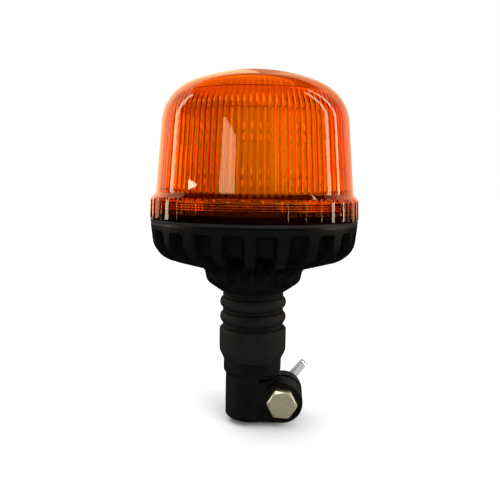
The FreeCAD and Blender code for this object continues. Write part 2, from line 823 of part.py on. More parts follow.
def chassis_plate():
    plate = ring(plate_r, plate_bore_r, z_ledge, z_plate_top)
    holes = around(screw_hole(plate_screw_ring, z_ledge, z_plate_top), SCREW_COUNT)
    holes += around(screw_hole(tower_screw_ring, z_ledge, z_plate_top), SCREW_COUNT, 45)
    return plate.cut(holes)


def plate_screws():
    length = PLATE_T + SCREW_BITE * 0.9
    return [screw(plate_screw_ring, 360 * i / SCREW_COUNT, z_plate_top, length) for i in range(SCREW_COUNT)]


def led_lead_z():
    return z_plate_top + TOWER_FLANGE_T + BOARD_FOOT + LED_LEAD_BEND


def led_tower():
    z_web = z_tower_top - TOWER_WEB_T
    flange = disc(tower_flange_r, z_plate_top, z_plate_top + TOWER_FLANGE_T)
    outside = prism(TOWER_SIDES, TOWER_FLATS, z_plate_top, z_tower_top)
    inside = prism(TOWER_SIDES, TOWER_FLATS - 2 * TOWER_WALL, z_plate_top, z_web)
    flange_top = z_plate_top + TOWER_FLANGE_T
    holes = around(screw_hole(tower_screw_ring, z_plate_top, flange_top), SCREW_COUNT, 45)
    holes.append(disc(SCREW_R + SEAT_GAP, z_web, z_tower_top))
    for x in (-LED_LEAD_SPREAD / 2, LED_LEAD_SPREAD / 2):
        way = V(x, -tower_in - CUT_OVER, led_lead_z())
        holes.append(Part.makeCylinder(LED_LEAD_R + SEAT_GAP, TOWER_WALL + 2 * CUT_OVER, way, BOLTWISE))
    return outside.fuse(flange).cut(inside).cut(holes).removeSplitter()


def tower_screws():
    seat = z_plate_top + TOWER_FLANGE_T
    length = TOWER_FLANGE_T + PLATE_T
    return [screw(tower_screw_ring, 45 + 360 * i / SCREW_COUNT, seat, length) for i in range(SCREW_COUNT)]


def led_boards():
    half = face_w / 2 - BOARD_MARGIN
    foot = z_plate_top + TOWER_FLANGE_T + BOARD_FOOT - BOARD_MARGIN
    board = block(tower_in, tower_in + BOARD_T, -half, half, foot, z_tower_top - BOARD_MARGIN)
    return around(board, TOWER_SIDES, -90)


def led_heights():
    heights = []
    for group in range(LED_GROUPS):
        for k in range(LEDS_IN_GROUP):
            heights.append(z_plate_top + LED_FIRST + LED_GROUP_PITCH * group + LED_PITCH * k)
    return heights


def led_emitters():
    x = tower_in + BOARD_T
    half = EMITTER_W / 2
    solids = []
    for z in led_heights():
        solids += around(block(x, x + EMITTER_T, -half, half, z - half, z + half), TOWER_SIDES, -90)
    return solids


def led_optics():
    x = tower_in + BOARD_T
    well_r = EMITTER_W / math.sqrt(2) + RUN_GAP
    section = outline([
        (well_r, 0),
        (OPTIC_R, 0),
        (OPTIC_R, OPTIC_H, OPTIC_ROUND),
        (0, OPTIC_H),
        (0, 2 * EMITTER_T),
        (well_r, 2 * EMITTER_T),
    ], lambda r, depth: V(depth, r, 0))
    optic = Part.Face(section).revolve(CENTRE, V(1, 0, 0), 360)
    solids = []
    for z in led_heights():
        placed = optic.copy()
        placed.translate(V(x, 0, z))
        solids += around(placed, TOWER_SIDES, -90)
    return solids


def tower_cap():
    cap = prism(TOWER_SIDES, TOWER_FLATS + 2 * CAP_OVERHANG, z_tower_top, z_tower_top + CAP_T)
    return cap.cut(screw_hole(0, z_tower_top, z_tower_top + CAP_T))


def cap_screw():
    return screw(0, 0, z_tower_top + CAP_T, CAP_T + TOWER_WEB_T)


# Driver electronics on the floor of the base

def driver_board():
    board = ring(DRIVER_R, DRIVER_BORE_R, z_driver, z_driver_top)
    return board.cut(around(screw_hole(DRIVER_BOSS_RING, z_driver, z_driver_top), SCREW_COUNT, 45))


def driver_screws():
    length = DRIVER_T + SCREW_BITE * 0.9
    places = [45 + 360 * i / SCREW_COUNT for i in range(SCREW_COUNT)]
    return [screw(DRIVER_BOSS_RING, a, z_driver_top, length) for a in places]


def driver_capacitors():
    can = turned([
        (0, z_driver_top),
        (CAPACITOR_R, z_driver_top),
        (CAPACITOR_R, z_driver_top + CAPACITOR_H, CAPACITOR_R / 6),
        (0, z_driver_top + CAPACITOR_H),
    ])
    can.translate(V(PART_RING, 0, 0))
    solids = []
    for angle in (105, 135):
        copy = can.copy()
        copy.rotate(CENTRE, UP, angle)
        solids.append(copy)
    return solids


def driver_inductor():
    soft = (INDUCTOR_R - INDUCTOR_BORE_R) / 3
    coil = turned([
        (INDUCTOR_BORE_R, z_driver_top),
        (INDUCTOR_R, z_driver_top),
        (INDUCTOR_R, z_driver_top + INDUCTOR_H, soft),
        (INDUCTOR_BORE_R, z_driver_top + INDUCTOR_H, soft),
    ])
    coil.translate(V(-PART_RING, 0, 0))
    return coil


def driver_chips():
    half = CHIP_W / 2
    chip = block(PART_RING - half, PART_RING + half, -half, half, z_driver_top, z_driver_top + CHIP_T)
    solids = []
    for angle in (-120, -90, -60):
        copy = chip.copy()
        copy.rotate(CENTRE, UP, angle)
        solids.append(copy)
    return solids


lead_turn_z = z_driver_top + TERMINAL_H / 2
terminal_x = LEAD_BEND + LEAD_R


def lead_terminal():
    half = TERMINAL_W / 2
    return block(terminal_x, terminal_x + TERMINAL_W, -half, half, z_driver_top, z_driver_top + TERMINAL_H)


def supply_lead():
    foot = V(0, 0, z_carrier_top + PIN_COLLAR_T)
    return bent_tube(LEAD_R, foot, V(0, 0, lead_turn_z), V(terminal_x, 0, lead_turn_z), LEAD_BEND)


def led_leads():
    solids = []
    for x in (-LED_LEAD_SPREAD / 2, LED_LEAD_SPREAD / 2):
        foot = V(x, led_lead_y, z_driver_top)
        corner = V(x, led_lead_y, led_lead_z())
        end = V(x, -tower_in, led_lead_z())
        solids.append(bent_tube(LED_LEAD_R, foot, corner, end, LED_LEAD_BEND))
    return solids


# Pole contacts at the end of the socket

def earth_tab(gap):
    """Strip of the earth contact, or its slot in the carrier when a gap is given."""
    return block(
        -earth_tab_out - gap, -earth_tab_in + gap,
        -EARTH_TAB_W / 2 - gap, EARTH_TAB_W / 2 + gap,
        z_earth, z_carrier_top + gap,
    )


def earth_ring():
    washer = ring(contact_flange_r, earth_tab_in - EARTH_LAND, z_earth, z_carrier)
    return washer.fuse(earth_tab(0)).removeSplitter()


def contact_carrier():
    clip_floor_r = CARRIER_R - CLIP_BITE
    body = turned([
        (carrier_bore_r, z_carrier),
        (contact_flange_r, z_carrier),
        (contact_flange_r, z_socket_end),
        (CARRIER_R, z_socket_end),
        (CARRIER_R, z_tube_top),
        (clip_floor_r, z_tube_top),
        (clip_floor_r, z_tube_top + CLIP_T),
        (CARRIER_R, z_tube_top + CLIP_T),
        (CARRIER_R, z_carrier_top),
        (PIN_STEM_R + RUN_GAP, z_carrier_top),
        (PIN_STEM_R + RUN_GAP, z_carrier_top - CARRIER_ROOF_T),
        (carrier_bore_r, z_carrier_top - CARRIER_ROOF_T),
    ])
    return body.cut(earth_tab(SEAT_GAP))


def carrier_clip():
    clip = ring(CLIP_R, CARRIER_R - CLIP_BITE + SEAT_GAP, z_tube_top, z_tube_top + CLIP_T)
    mouth = block(0, CLIP_R, -CARRIER_R / 2, CARRIER_R / 2, z_tube_top, z_tube_top + CLIP_T)
    return clip.cut(mouth)


z_pin_shoulder = z_carrier + PIN_HEAD_IN


def centre_contact():
    tip_z = z_earth - PIN_OUT
    return turned([
        (0, tip_z),
        (PIN_HEAD_R, tip_z, PIN_OUT),
        (PIN_HEAD_R, z_pin_shoulder),
        (PIN_STEM_R, z_pin_shoulder),
        (PIN_STEM_R, z_carrier_top),
        (PIN_COLLAR_R, z_carrier_top),
        (PIN_COLLAR_R, z_carrier_top + PIN_COLLAR_T),
        (0, z_carrier_top + PIN_COLLAR_T),
    ])


def contact_spring():
    """Coil spring between the shoulder of the pin and the roof of the carrier, in short straight steps."""
    coil_r = (PIN_STEM_R + carrier_bore_r) / 2
    low = z_pin_shoulder + SPRING_WIRE_R
    rise = z_carrier_top - CARRIER_ROOF_T - z_pin_shoulder - 2 * SPRING_WIRE_R
    steps = SPRING_TURNS * SPRING_STEPS
    coil = []
    for i in range(steps + 1):
        a = 2 * math.pi * i / SPRING_STEPS
        coil.append(V(coil_r * math.cos(a), coil_r * math.sin(a), low + rise * i / steps))
    wire = []
    for i in range(SPRING_SIDES + 1):
        a = 2 * math.pi * i / SPRING_SIDES
        wire.append(coil[0] + V(SPRING_WIRE_R * math.cos(a), 0, SPRING_WIRE_R * math.sin(a)))
    mitred = 1
    return Part.makePolygon(coil).makePipeShell([Part.makePolygon(wire)], True, False, mitred)


# Every node of the part and the function that makes it
NODES = {
    "clamp_sleeve": clamp_sleeve,
    "clamp_bolt": clamp_bolt,
    "nut_washer": nut_washer,
    "wing_nut": wing_nut,
    "earth_ring": earth_ring,
    "contact_carrier": contact_carrier,
    "carrier_clip": carrier_clip,
    "centre_contact": centre_contact,
    "contact_spring": contact_spring,
    "flex_neck": flex_neck,
    "neck_retainer": neck_retainer,
    "neck_screws": neck_screws,
    "lead_grommet": lead_grommet,
    "supply_lead": supply_lead,
    "base_housing": base_housing,
    "driver_board": driver_board,
    "driver_screws": driver_screws,
    "driver_capacitors": driver_capacitors,
    "driver_inductor": driver_inductor,
    "driver_chips": driver_chips,
    "lead_terminal": lead_terminal,
    "led_leads": led_leads,
    "chassis_plate": chassis_plate,
    "plate_screws": plate_screws,
    "led_tower": led_tower,
    "tower_screws": tower_screws,
    "led_boards": led_boards,
    "led_emitters": led_emitters,
    "led_optics": led_optics,
    "tower_cap": tower_cap,
    "cap_screw": cap_screw,
    "lens_gasket": lens_gasket,
    "dome_lens": dome_lens,
}

os.makedirs("parts", exist_ok=True)
for name, make in NODES.items():
    made = make()
    shape = Part.makeCompound(made) if isinstance(made, list) else made
    shape.exportStep("parts/" + name + ".step")
    print(name, "solids", len(shape.Solids), "valid", shape.isValid(), "volume", round(shape.Volume, 1))
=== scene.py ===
import json
import math

import bmesh
import bpy
from mathutils import Matrix, Vector


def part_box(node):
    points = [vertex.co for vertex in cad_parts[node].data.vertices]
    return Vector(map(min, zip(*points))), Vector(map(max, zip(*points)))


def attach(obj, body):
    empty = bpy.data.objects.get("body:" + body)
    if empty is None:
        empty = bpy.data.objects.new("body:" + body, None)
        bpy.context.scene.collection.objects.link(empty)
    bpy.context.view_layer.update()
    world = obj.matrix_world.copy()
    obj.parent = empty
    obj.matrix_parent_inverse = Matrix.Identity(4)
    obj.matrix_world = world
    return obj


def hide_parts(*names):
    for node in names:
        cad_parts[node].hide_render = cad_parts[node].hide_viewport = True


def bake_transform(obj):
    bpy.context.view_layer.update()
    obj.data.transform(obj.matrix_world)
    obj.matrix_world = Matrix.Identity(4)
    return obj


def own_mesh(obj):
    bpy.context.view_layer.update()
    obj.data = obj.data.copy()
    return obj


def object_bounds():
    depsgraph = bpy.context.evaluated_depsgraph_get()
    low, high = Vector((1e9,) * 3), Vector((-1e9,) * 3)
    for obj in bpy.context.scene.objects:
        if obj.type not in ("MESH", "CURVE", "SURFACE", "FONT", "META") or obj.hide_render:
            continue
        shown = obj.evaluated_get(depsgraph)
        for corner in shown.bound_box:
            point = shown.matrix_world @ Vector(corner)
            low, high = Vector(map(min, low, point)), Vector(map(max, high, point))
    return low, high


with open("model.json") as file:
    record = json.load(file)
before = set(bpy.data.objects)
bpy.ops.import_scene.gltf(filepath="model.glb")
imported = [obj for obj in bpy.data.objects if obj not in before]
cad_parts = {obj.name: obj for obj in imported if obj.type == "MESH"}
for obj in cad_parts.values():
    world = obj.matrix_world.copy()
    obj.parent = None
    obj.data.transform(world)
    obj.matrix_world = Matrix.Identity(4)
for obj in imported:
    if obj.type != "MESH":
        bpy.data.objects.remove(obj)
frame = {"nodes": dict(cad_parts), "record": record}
cad_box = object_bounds()

# Sizes are in millimetres, in the frame's axes, unless a heading says otherwise; meshes are in metres
MM = 0.001
ON_AXIS = 1e-6

# Camera, from the photograph
IMAGE_SIDE = 500
FOCAL_PIXELS = 550.6
CAMERA_DISTANCE = 350.5
CAMERA_TURN = math.radians(3.4)
CAMERA_PITCH = math.radians(6.18)
CAMERA_OVER_LENS_FOOT = 18.0
CAMERA_ROLL = math.radians(0.8)
SUBJECT_RIGHT_PIXELS = 3.8
SENSOR = 36.0

# Rounded corners and creases of all meshes
CORNER_STEP = math.radians(7)
CORNER_SHARE = 0.49
CREASE = math.radians(32)
SOFT_CREASE = math.radians(60)

# Lens
SKIRT_WALL = 2.1
SKIRT_H = 13.3
SKIRT_INNER_H = 12.0
SKIRT_EDGE = 0.35
COLLAR_R = 64.7
COLLAR_DRAFT = 0.5
COLLAR_STEP = 3.1
COLLAR_BEVEL_H = 2.7
COLLAR_EDGE = 0.7
GRIPS = 40
GRIP_W = 3.2
GRIP_T = 0.6
GRIP_FOOT = 0.9
GRIP_RAMP = 0.35
LENS_WALL = 2.5
DOME_DRAFT = math.radians(4.8)
SHOULDER_ROUND = 26.5
SHOULDER_ARC_STEP = math.radians(4.5)
CROWN_R = 105.0
CROWN_ARC_STEP = math.radians(3)
CROWN_STEP = 0.9
CROWN_STEP_CLEAR = 0.3
FLUTES = 104
FLUTE_STEPS = 6
FLUTE_DEPTH = 0.7
FLUTE_FOOT_H = -1.0
FLUTE_FOOT_FADE_H = 2.5
FLUTE_TOP_FADE_H = 10.0
FLUTE_TOP_R = 49.8
RIM_SHOWS_H = 4.7
SKIRT_FACE_SLACK = 0.05
SKIRT_LINES = 4
SKIRT_LINE_PITCH = 1.3
SKIRT_LINE_DEPTH = 0.3
SKIRT_RING_STEP = 0.8
SKIRT_RINGS_ABOVE = 1.0
DOME_RING_STEP = 4.0
INNER_RING_STEP = 3.0
# Heights of the painted shade on the lens: lines down the flutes, a darker skirt and a deeper crown
STRIPES_TOP_DROP = 12.0
STRIPES_FULL = (0.02, 0.97)
SKIRT_SHADE_DROP = 2.5
SKIRT_SHADE_END_DROP = 0.5
CROWN_SHADE_DROP = 14.0
CROWN_SHADE_END_DROP = 32.0

# Base
CUP_FOOT_R = 19.5
CUP_FOOT_ROUND = 1.4
CUP_BEND_R = 30.0
CUP_BEND_H = 7.2
CUP_ROUND = 7.0
CUP_H = 15.7
CUP_MOUTH_R = 31.6
CUP_MOUTH_ROUND = 5.0
CUP_FLOOR_T = 4.0
CUP_FLOOR_BEVEL = 4.5
BOWL_SLOPE = math.tan(math.radians(15.6))
BOWL_DRAFT = math.tan(math.radians(6.6))
BOWL_ROUND = 14.0
BOWL_EDGE = 0.45
BOWL_INNER_STEP = 3.0
BOWL_INNER_DROP = 9.0
BASE_WALL = 3.5
BASE_RING_STEP = 0.8
FINS = 22
FIN_TURN = math.radians(1.6)
POCKET_ANGLE = math.radians(9.8)
POCKET_DEPTH = 5.5
POCKET_CUP_DEPTH = 1.0
POCKET_END = 4.0
POCKET_TOP_DROP = 4.2
POCKET_TOP_REACH = 3.2
POCKET_TOP_RING_STEP = 0.25
POCKET_ROUND = 2.6
POCKET_RAMP = 1.5
POCKET_SHOWS = 0.5
POCKET_RAMP_SHARES = [0.0, 0.12, 0.25, 0.38, 0.5, 0.62, 0.75, 0.88, 1.0, 1.35, 1.8]
SEAL_GROOVE_H = 0.7
SEAL_GROOVE_DEPTH = 1.0
RIM_GAP = 0.6
RIM_H = 8.7
RIM_WALL = 2.0
RIM_FACE_SLACK = 0.2
PLATE_DROP = 3.0

# Neck
CUFF_LIP = 2.5
CUFF_FOOT_STEP = 0.3
CUFF_FOOT_ROUND = 0.3
CUFF_FLARE_H = 5.5
CUFF_H = 20.1
CUFF_EDGE = 1.6
CUFF_R = 21.6
SHOULDER_R = 18.7
TUBE_CLEAR_R = 17.7
TUBE_TAPER_H = 8.0
TUBE_TOP_GAP = 0.5
BULGE_R = 21.3
BULGE_H = 6.8
RIDGE_R = 19.6
RIDGE_H = 1.2
GROOVE_R = 18.2
FINE_GROOVE_R = 18.6
GROOVE_H = 0.8
CUFF_TOP_RISE = GROOVE_H / 3
FIRST_GROOVE_H = 1.5
FOLD_STEPS = 18
FOLD_FULLNESS = 0.75
NECK_BORE_R = 11.5
NECK_STUB_R = 14.0
NECK_STUB_H = 3.0
NECK_STUB_GAP = 0.3
NECK_WEB_H = 3.0
NECK_SIDES = 192
NECK_RING_STEP = 0.8

# Supply lead and contact
LEAD_BORE_R = 6.0
LEAD_BEND = 6.0
LEAD_BEND_STEP = math.radians(10)
LEAD_TAIL = 4.0
LEAD_SIDES = 24
LEAD_RING_STEP = 1.5

# Light source
TOWER_SIDES = 8
LED_STRIP_SHARE = 0.4
# Reach of the painted shade at the foot of the boards, about the collar's height
BOARD_SHADE_REACH = 2.0

# Clamp bolt and wing nut
HEX_FLATS = 17.0
HEX_H = 6.4
HEX_TURN = math.radians(3.0)
HEX_BEVEL = 1.2
HEX_BEVEL_STEPS = 10
HEX_FACE_STEP = 0.75
HEX_FACE_DISH = 0.06
HEX_FACE_SHARES = (0.35, 0.7, 0.94)
HEX_CORNER = 0.5
HEX_SEAT_EDGE = 0.3
BOLT_R = 5.0
BOLT_SIDES = 144
BOLT_CREASE = math.radians(25)
BOLT_END_CHAMFER = 1.0
THREAD_PITCH = 1.5
THREAD_STEPS = 8
THREAD_DEPTH = 0.55
THREAD_LENGTH = 26.0
THREAD_CREST_DROP = 0.05
NUT_VOXEL = 0.3
NUT_SMOOTHINGS = 6
NUT_SMOOTH_SHARE = 0.5

# Noise: the values between which it changes a surface, and its detail
NOISE_FROM = 0.3
NOISE_TO = 0.7
CLOUD_DETAIL = 3.0
GRAIN_DETAIL = 2.0

# Sockets of a colour mix node
MIX_A = 6
MIX_B = 7
MIX_RESULT = 2

# Floor and lights: places in metres, angles and shares
FLOOR_HALF = 6.0
STRIP_DISTANCE = 1.5
BACK_DISTANCE = 1.8
BACK_MIDDLE = 0.9
BACK_HEIGHT = 1.8
BACK_AIM = (0, 0, 0.2)
GLEAM_DISTANCE = 1.15
GLEAM_AIM = (0, 0, 0.01)
NUT_GLEAM = 0.16
CARD_DISTANCE = 1.5
WINDOW_DISTANCE = 1.4
SUN_ANGLE = math.radians(70)
SUN_TURN = (math.radians(-8), math.radians(-12), 0)
OVERHEAD_FROM = 0.3

# Colours
BLACK = (0.0, 0.0, 0.0)
WHITE = (1.0, 1.0, 1.0)
WARM = (1.0, 0.86, 0.62)
CREAM = (1.0, 0.8, 0.42)
ORANGE = (1.0, 0.45, 0.25)
DEEP_RED = (1.0, 0.2, 0.3)
PALE = (0.8, 1.0, 0.9)


def low(node):
    """Lowest corner of a node's box, in millimetres."""
    return [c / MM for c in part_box(node)[0]]


def high(node):
    """Highest corner of a node's box, in millimetres."""
    return [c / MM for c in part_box(node)[1]]


z_lens = low("dome_lens")[2]
z_apex = high("dome_lens")[2]
z_collar = z_lens + SKIRT_H
z_gasket = low("lens_gasket")[2]
base_r = high("lens_gasket")[0]
z_base = low("base_housing")[2]
z_cup_floor = z_base + CUP_FLOOR_T
z_rim_top = z_gasket + RIM_H
z_bowl_top = z_gasket - SEAL_GROOVE_H
z_cuff = low("flex_neck")[2]
z_bellows = z_cuff + CUFF_H
z_first_fold = z_bellows + FIRST_GROOVE_H
fold_pitch = RIDGE_H + BULGE_H + 2 * GROOVE_H
z_split = z_first_fold + fold_pitch - GROOVE_H / 2
bolt_x = (low("nut_washer")[0] + high("nut_washer")[0]) / 2
bolt_z = (low("nut_washer")[2] + high("nut_washer")[2]) / 2
bolt_head_y = low("clamp_bolt")[1]
bolt_end_y = high("clamp_bolt")[1]
z_ground = cad_box[0][2] / MM


# Sections and meshes

def rounded(corners):
    """Points along (r, z) or (r, z, round) corners, with each rounded corner as a short arc."""
    points = []
    for i, corner in enumerate(corners):
        here = Vector(corner[:2])
        if len(corner) == 2:
            points.append(here)
            continue
        before = Vector(corners[i - 1][:2]) - here
        after = Vector(corners[i + 1][:2]) - here
        half = before.angle(after) / 2
        run = min(corner[2] / math.tan(half), CORNER_SHARE * before.length, CORNER_SHARE * after.length)
        radius = run * math.tan(half)
        before.normalize()
        after.normalize()
        centre = here + (before + after).normalized() * (radius / math.sin(half))
        points += arc(centre, here + before * run, here + after * run, CORNER_STEP)
    return points


def arc(centre, start, end, step):
    """Points on the shorter arc about a centre, from start to end."""
    a = start - centre
    b = end - centre
    sweep = a.angle(b)
    steps = max(2, math.ceil(sweep / step))
    points = []
    for k in range(steps + 1):
        t = k / steps
        points.append(centre + (a * math.sin((1 - t) * sweep) + b * math.sin(t * sweep)) / math.sin(sweep))
    return points


def divided(points, step):
    """The same line with its long stretches divided; step gives the longest piece at a point."""
    line = [points[0]]
    for a, b in zip(points, points[1:]):
        parts = max(1, math.ceil((b - a).length / step((a + b) / 2)))
        line += [a.lerp(b, k / parts) for k in range(1, parts + 1)]
    return line


def even(count):
    """Evenly spaced angles of a full turn."""
    return [2 * math.pi * i / count for i in range(count)]


def turned(r, z, angle):
    """A point of a section, turned about the Z axis."""
    return Vector((r * math.cos(angle), r * math.sin(angle), z))


def ramp(distance, width):
    """Smooth rise from 0 to 1 over a width that is centred on zero distance."""
    t = min(1.0, max(0.0, distance / width + 0.5))
    return t * t * (3 - 2 * t)


def skin(rings, loop):
    """Mesh through rings of points in millimetres; a ring of one point closes the end as a pole."""
    verts = []
    starts = []
    for ring in rings:
        starts.append(len(verts))
        verts += [p * MM for p in ring]
    faces = []
    pairs = list(zip(range(len(rings)), range(1, len(rings))))
    if loop:
        pairs.append((len(rings) - 1, 0))
    for a, b in pairs:
        count = max(len(rings[a]), len(rings[b]))
        for i in range(count):
            j = (i + 1) % count
            corners = []
            for ring, k in ((a, i), (a, j), (b, j), (b, i)):
                vertex = starts[ring] + (k if len(rings[ring]) > 1 else 0)
                if vertex not in corners:
                    corners.append(vertex)
            faces.append(corners)
    mesh = bpy.data.meshes.new("mesh")
    mesh.from_pydata(verts, [], faces)
    shell = bmesh.new()
    shell.from_mesh(mesh)
    bmesh.ops.recalc_face_normals(shell, faces=shell.faces)
    shell.to_mesh(mesh)
    shell.free()
    return mesh


def piece(name, mesh, nodes, finish, crease=CREASE):
    """Object in place of CAD nodes, which it hides, with smooth faces between its creases."""
    obj = bpy.data.objects.new(name, mesh)
    bpy.context.scene.collection.objects.link(obj)
    mesh.name = name
    mesh.polygons.foreach_set("use_smooth", [True] * len(mesh.polygons))
    mesh.set_sharp_from_angle(angle=crease)
    mesh.materials.append(finish)
    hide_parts(*nodes)
    return obj


# Materials

finishes = {}


def grey(level):
    """Neutral colour."""
    return (level, level, level)


def new_material(name):
    """New material and its shader."""
    mat = bpy.data.materials.new(name)
    mat.use_nodes = True
    return mat, mat.node_tree.nodes["Principled BSDF"]


def noise(tree, size_mm, detail, stretch):
    """Noise with features of about the given size, fixed to the object."""
    coords = tree.nodes.new("ShaderNodeTexCoord")
    mapping = tree.nodes.new("ShaderNodeMapping")
    mapping.inputs["Scale"].default_value = stretch
    texture = tree.nodes.new("ShaderNodeTexNoise")
    texture.inputs["Scale"].default_value = 1 / (size_mm * MM)
    texture.inputs["Detail"].default_value = detail
    tree.links.new(coords.outputs["Object"], mapping.inputs["Vector"])
    tree.links.new(mapping.outputs["Vector"], texture.inputs["Vector"])
    return texture.outputs["Fac"]


def coloured(tree, value, first, last, *between):
    """Colour that follows a value, from (position, colour) stops."""
    stops = tree.nodes.new("ShaderNodeValToRGB")
    marks = stops.color_ramp.elements
    for mark, (position, colour) in zip(marks, (first, last)):
        mark.position = position
        mark.color = (*colour, 1)
    for position, colour in between:
        marks.new(position).color = (*colour, 1)
    tree.links.new(value, stops.inputs["Fac"])
    return stops.outputs["Color"]


def ranged(tree, value, start, end, lowest=0.0, highest=1.0):
    """Number that goes from lowest to highest as a value goes from start to end."""
    spread = tree.nodes.new("ShaderNodeMapRange")
    spread.inputs["From Min"].default_value = start
    spread.inputs["From Max"].default_value = end
    spread.inputs["To Min"].default_value = lowest
    spread.inputs["To Max"].default_value = highest
    tree.links.new(value, spread.inputs["Value"])
    return spread.outputs["Result"]


def calculated(tree, operation, value, number):
    """Number worked out from a value and a fixed number."""
    step = tree.nodes.new("ShaderNodeMath")
    step.operation = operation
    step.inputs[1].default_value = number
    tree.links.new(value, step.inputs[0])
    return step.outputs["Value"]


def object_height(tree):
    """Height of a point in the object's own axes, in metres."""
    coords = tree.nodes.new("ShaderNodeTexCoord")
    split = tree.nodes.new("ShaderNodeSeparateXYZ")
    tree.links.new(coords.outputs["Object"], split.inputs["Vector"])
    return split.outputs["Z"]


def surface(name, dark, light, rough, cloud_mm, grain_mm, grain_height_mm, fixed=None, stretch=(1, 1, 1)):
    """Material with cloudy colour, uneven roughness and a fine grain."""
    mat, shader = new_material(name)
    tree = mat.node_tree
    cloud = noise(tree, cloud_mm, CLOUD_DETAIL, stretch)
    grain = noise(tree, grain_mm, GRAIN_DETAIL, stretch)
    colour = coloured(tree, cloud, (NOISE_FROM, dark), (NOISE_TO, light))
    bump = tree.nodes.new("ShaderNodeBump")
    bump.inputs["Strength"].default_value = 1.0
    bump.inputs["Distance"].default_value = grain_height_mm * MM
    tree.links.new(colour, shader.inputs["Base Color"])
    tree.links.new(ranged(tree, grain, NOISE_FROM, NOISE_TO, *rough), shader.inputs["Roughness"])
    tree.links.new(grain, bump.inputs["Height"])
    tree.links.new(bump.outputs["Normal"], shader.inputs["Normal"])
    for socket, value in (fixed or {}).items():
        shader.inputs[socket].default_value = value
    finishes[name] = mat
    return mat


def multiply_colour(mat, share):
    """Multiplies a material's colour as far as share says; gives the socket for the second colour."""
    tree = mat.node_tree
    target = tree.nodes["Principled BSDF"].inputs["Base Color"]
    mix = tree.nodes.new("ShaderNodeMix")
    mix.data_type = "RGBA"
    mix.blend_type = "MULTIPLY"
    tree.links.new(share, mix.inputs["Factor"])
    tree.links.new(target.links[0].from_socket, mix.inputs[MIX_A])
    tree.links.new(mix.outputs[MIX_RESULT], target)
    return mix.inputs[MIX_B]


def upright_stripes(mat, count, share, edge, colour, z_from, z_to):
    """Multiplies the colour in evenly spaced stripes round the Z axis, between two heights."""
    tree = mat.node_tree
    coords = tree.nodes.new("ShaderNodeTexCoord")
    round_axis = tree.nodes.new("ShaderNodeTexGradient")
    round_axis.gradient_type = "RADIAL"
    tree.links.new(coords.outputs["Object"], round_axis.inputs["Vector"])
    turns = calculated(tree, "MULTIPLY", round_axis.outputs["Fac"], count)
    off_middle = calculated(tree, "PINGPONG", turns, 0.5)
    stripe = coloured(tree, off_middle, (share / 2, colour), (share / 2 + edge, WHITE))
    height = ranged(tree, object_height(tree), z_from * MM, z_to * MM)
    full_from, full_to = STRIPES_FULL
    within = coloured(tree, height, (0.0, BLACK), (1.0, BLACK), (full_from, WHITE), (full_to, WHITE))
    tree.links.new(stripe, multiply_colour(mat, within))


def shade_by_height(mat, z_shaded, z_plain, colour):
    """Painted shade: multiplies the colour fully at one height and beyond it, and less and less towards
    another.
    """
    tree = mat.node_tree
    share = ranged(tree, object_height(tree), z_plain * MM, z_shaded * MM)
    multiply_colour(mat, share).default_value = (*colour, 1)


def shade_flanks(mat, cos_shaded, cos_plain, colour):
    """Painted shade: multiplies the colour where the surface turns away from straight out of the Z axis.
    """
    tree = mat.node_tree
    coords = tree.nodes.new("ShaderNodeTexCoord")
    level = tree.nodes.new("ShaderNodeVectorMath")
    level.operation = "MULTIPLY"
    level.inputs[1].default_value = (1, 1, 0)
    outward = tree.nodes.new("ShaderNodeVectorMath")
    outward.operation = "NORMALIZE"
    facing = tree.nodes.new("ShaderNodeVectorMath")
    facing.operation = "DOT_PRODUCT"
    tree.links.new(coords.outputs["Object"], level.inputs[0])
    tree.links.new(level.outputs["Vector"], outward.inputs[0])
    tree.links.new(outward.outputs["Vector"], facing.inputs[0])
    tree.links.new(coords.outputs["Normal"], facing.inputs[1])
    share = ranged(tree, facing.outputs["Value"], cos_plain, cos_shaded)
    multiply_colour(mat, share).default_value = (*colour, 1)


def absorb_light(mat, colour, density):
    """Fills a clear material with a tint that grows with the thickness."""
    tree = mat.node_tree
    tint = tree.nodes.new("ShaderNodeVolumeAbsorption")
    tint.inputs["Color"].default_value = (*colour, 1)
    tint.inputs["Density"].default_value = density
    tree.links.new(tint.outputs["Volume"], tree.nodes["Material Output"].inputs["Volume"])


METAL = {"Metallic": 1.0}
CHROMED = {"Metallic": 0.85}
PLATED = {"Metallic": 0.6}
GLASS = {"Transmission Weight": 1.0, "IOR": 1.46}
MATT = {"Specular IOR Level": 0.1}

amber = surface(
    "amber_lens", (1.0, 0.77, 0.26), (1.0, 0.81, 0.32), rough=(0.01, 0.03),
    cloud_mm=24, grain_mm=3.0, grain_height_mm=0.0002, fixed=GLASS)
# Painted shade: redder lines down each flute, standing in for the dark lines that the flutes' refraction
# makes
upright_stripes(
    amber, FLUTES, share=0.1, edge=0.35, colour=(0.92, 0.64, 0.5),
    z_from=z_collar, z_to=z_apex - STRIPES_TOP_DROP)
# Painted shade: the skirt darker and redder from just below the collar down
shade_by_height(
    amber, z_shaded=z_collar - SKIRT_SHADE_DROP, z_plain=z_collar - SKIRT_SHADE_END_DROP,
    colour=(0.62, 0.36, 0.6))
# Painted shade: the crown a deeper orange from below the shoulder up to the apex
shade_by_height(
    amber, z_shaded=z_apex - CROWN_SHADE_DROP, z_plain=z_apex - CROWN_SHADE_END_DROP,
    colour=(0.98, 0.68, 1.0))
absorb_light(amber, colour=(0.99, 0.785, 0.08), density=1250)

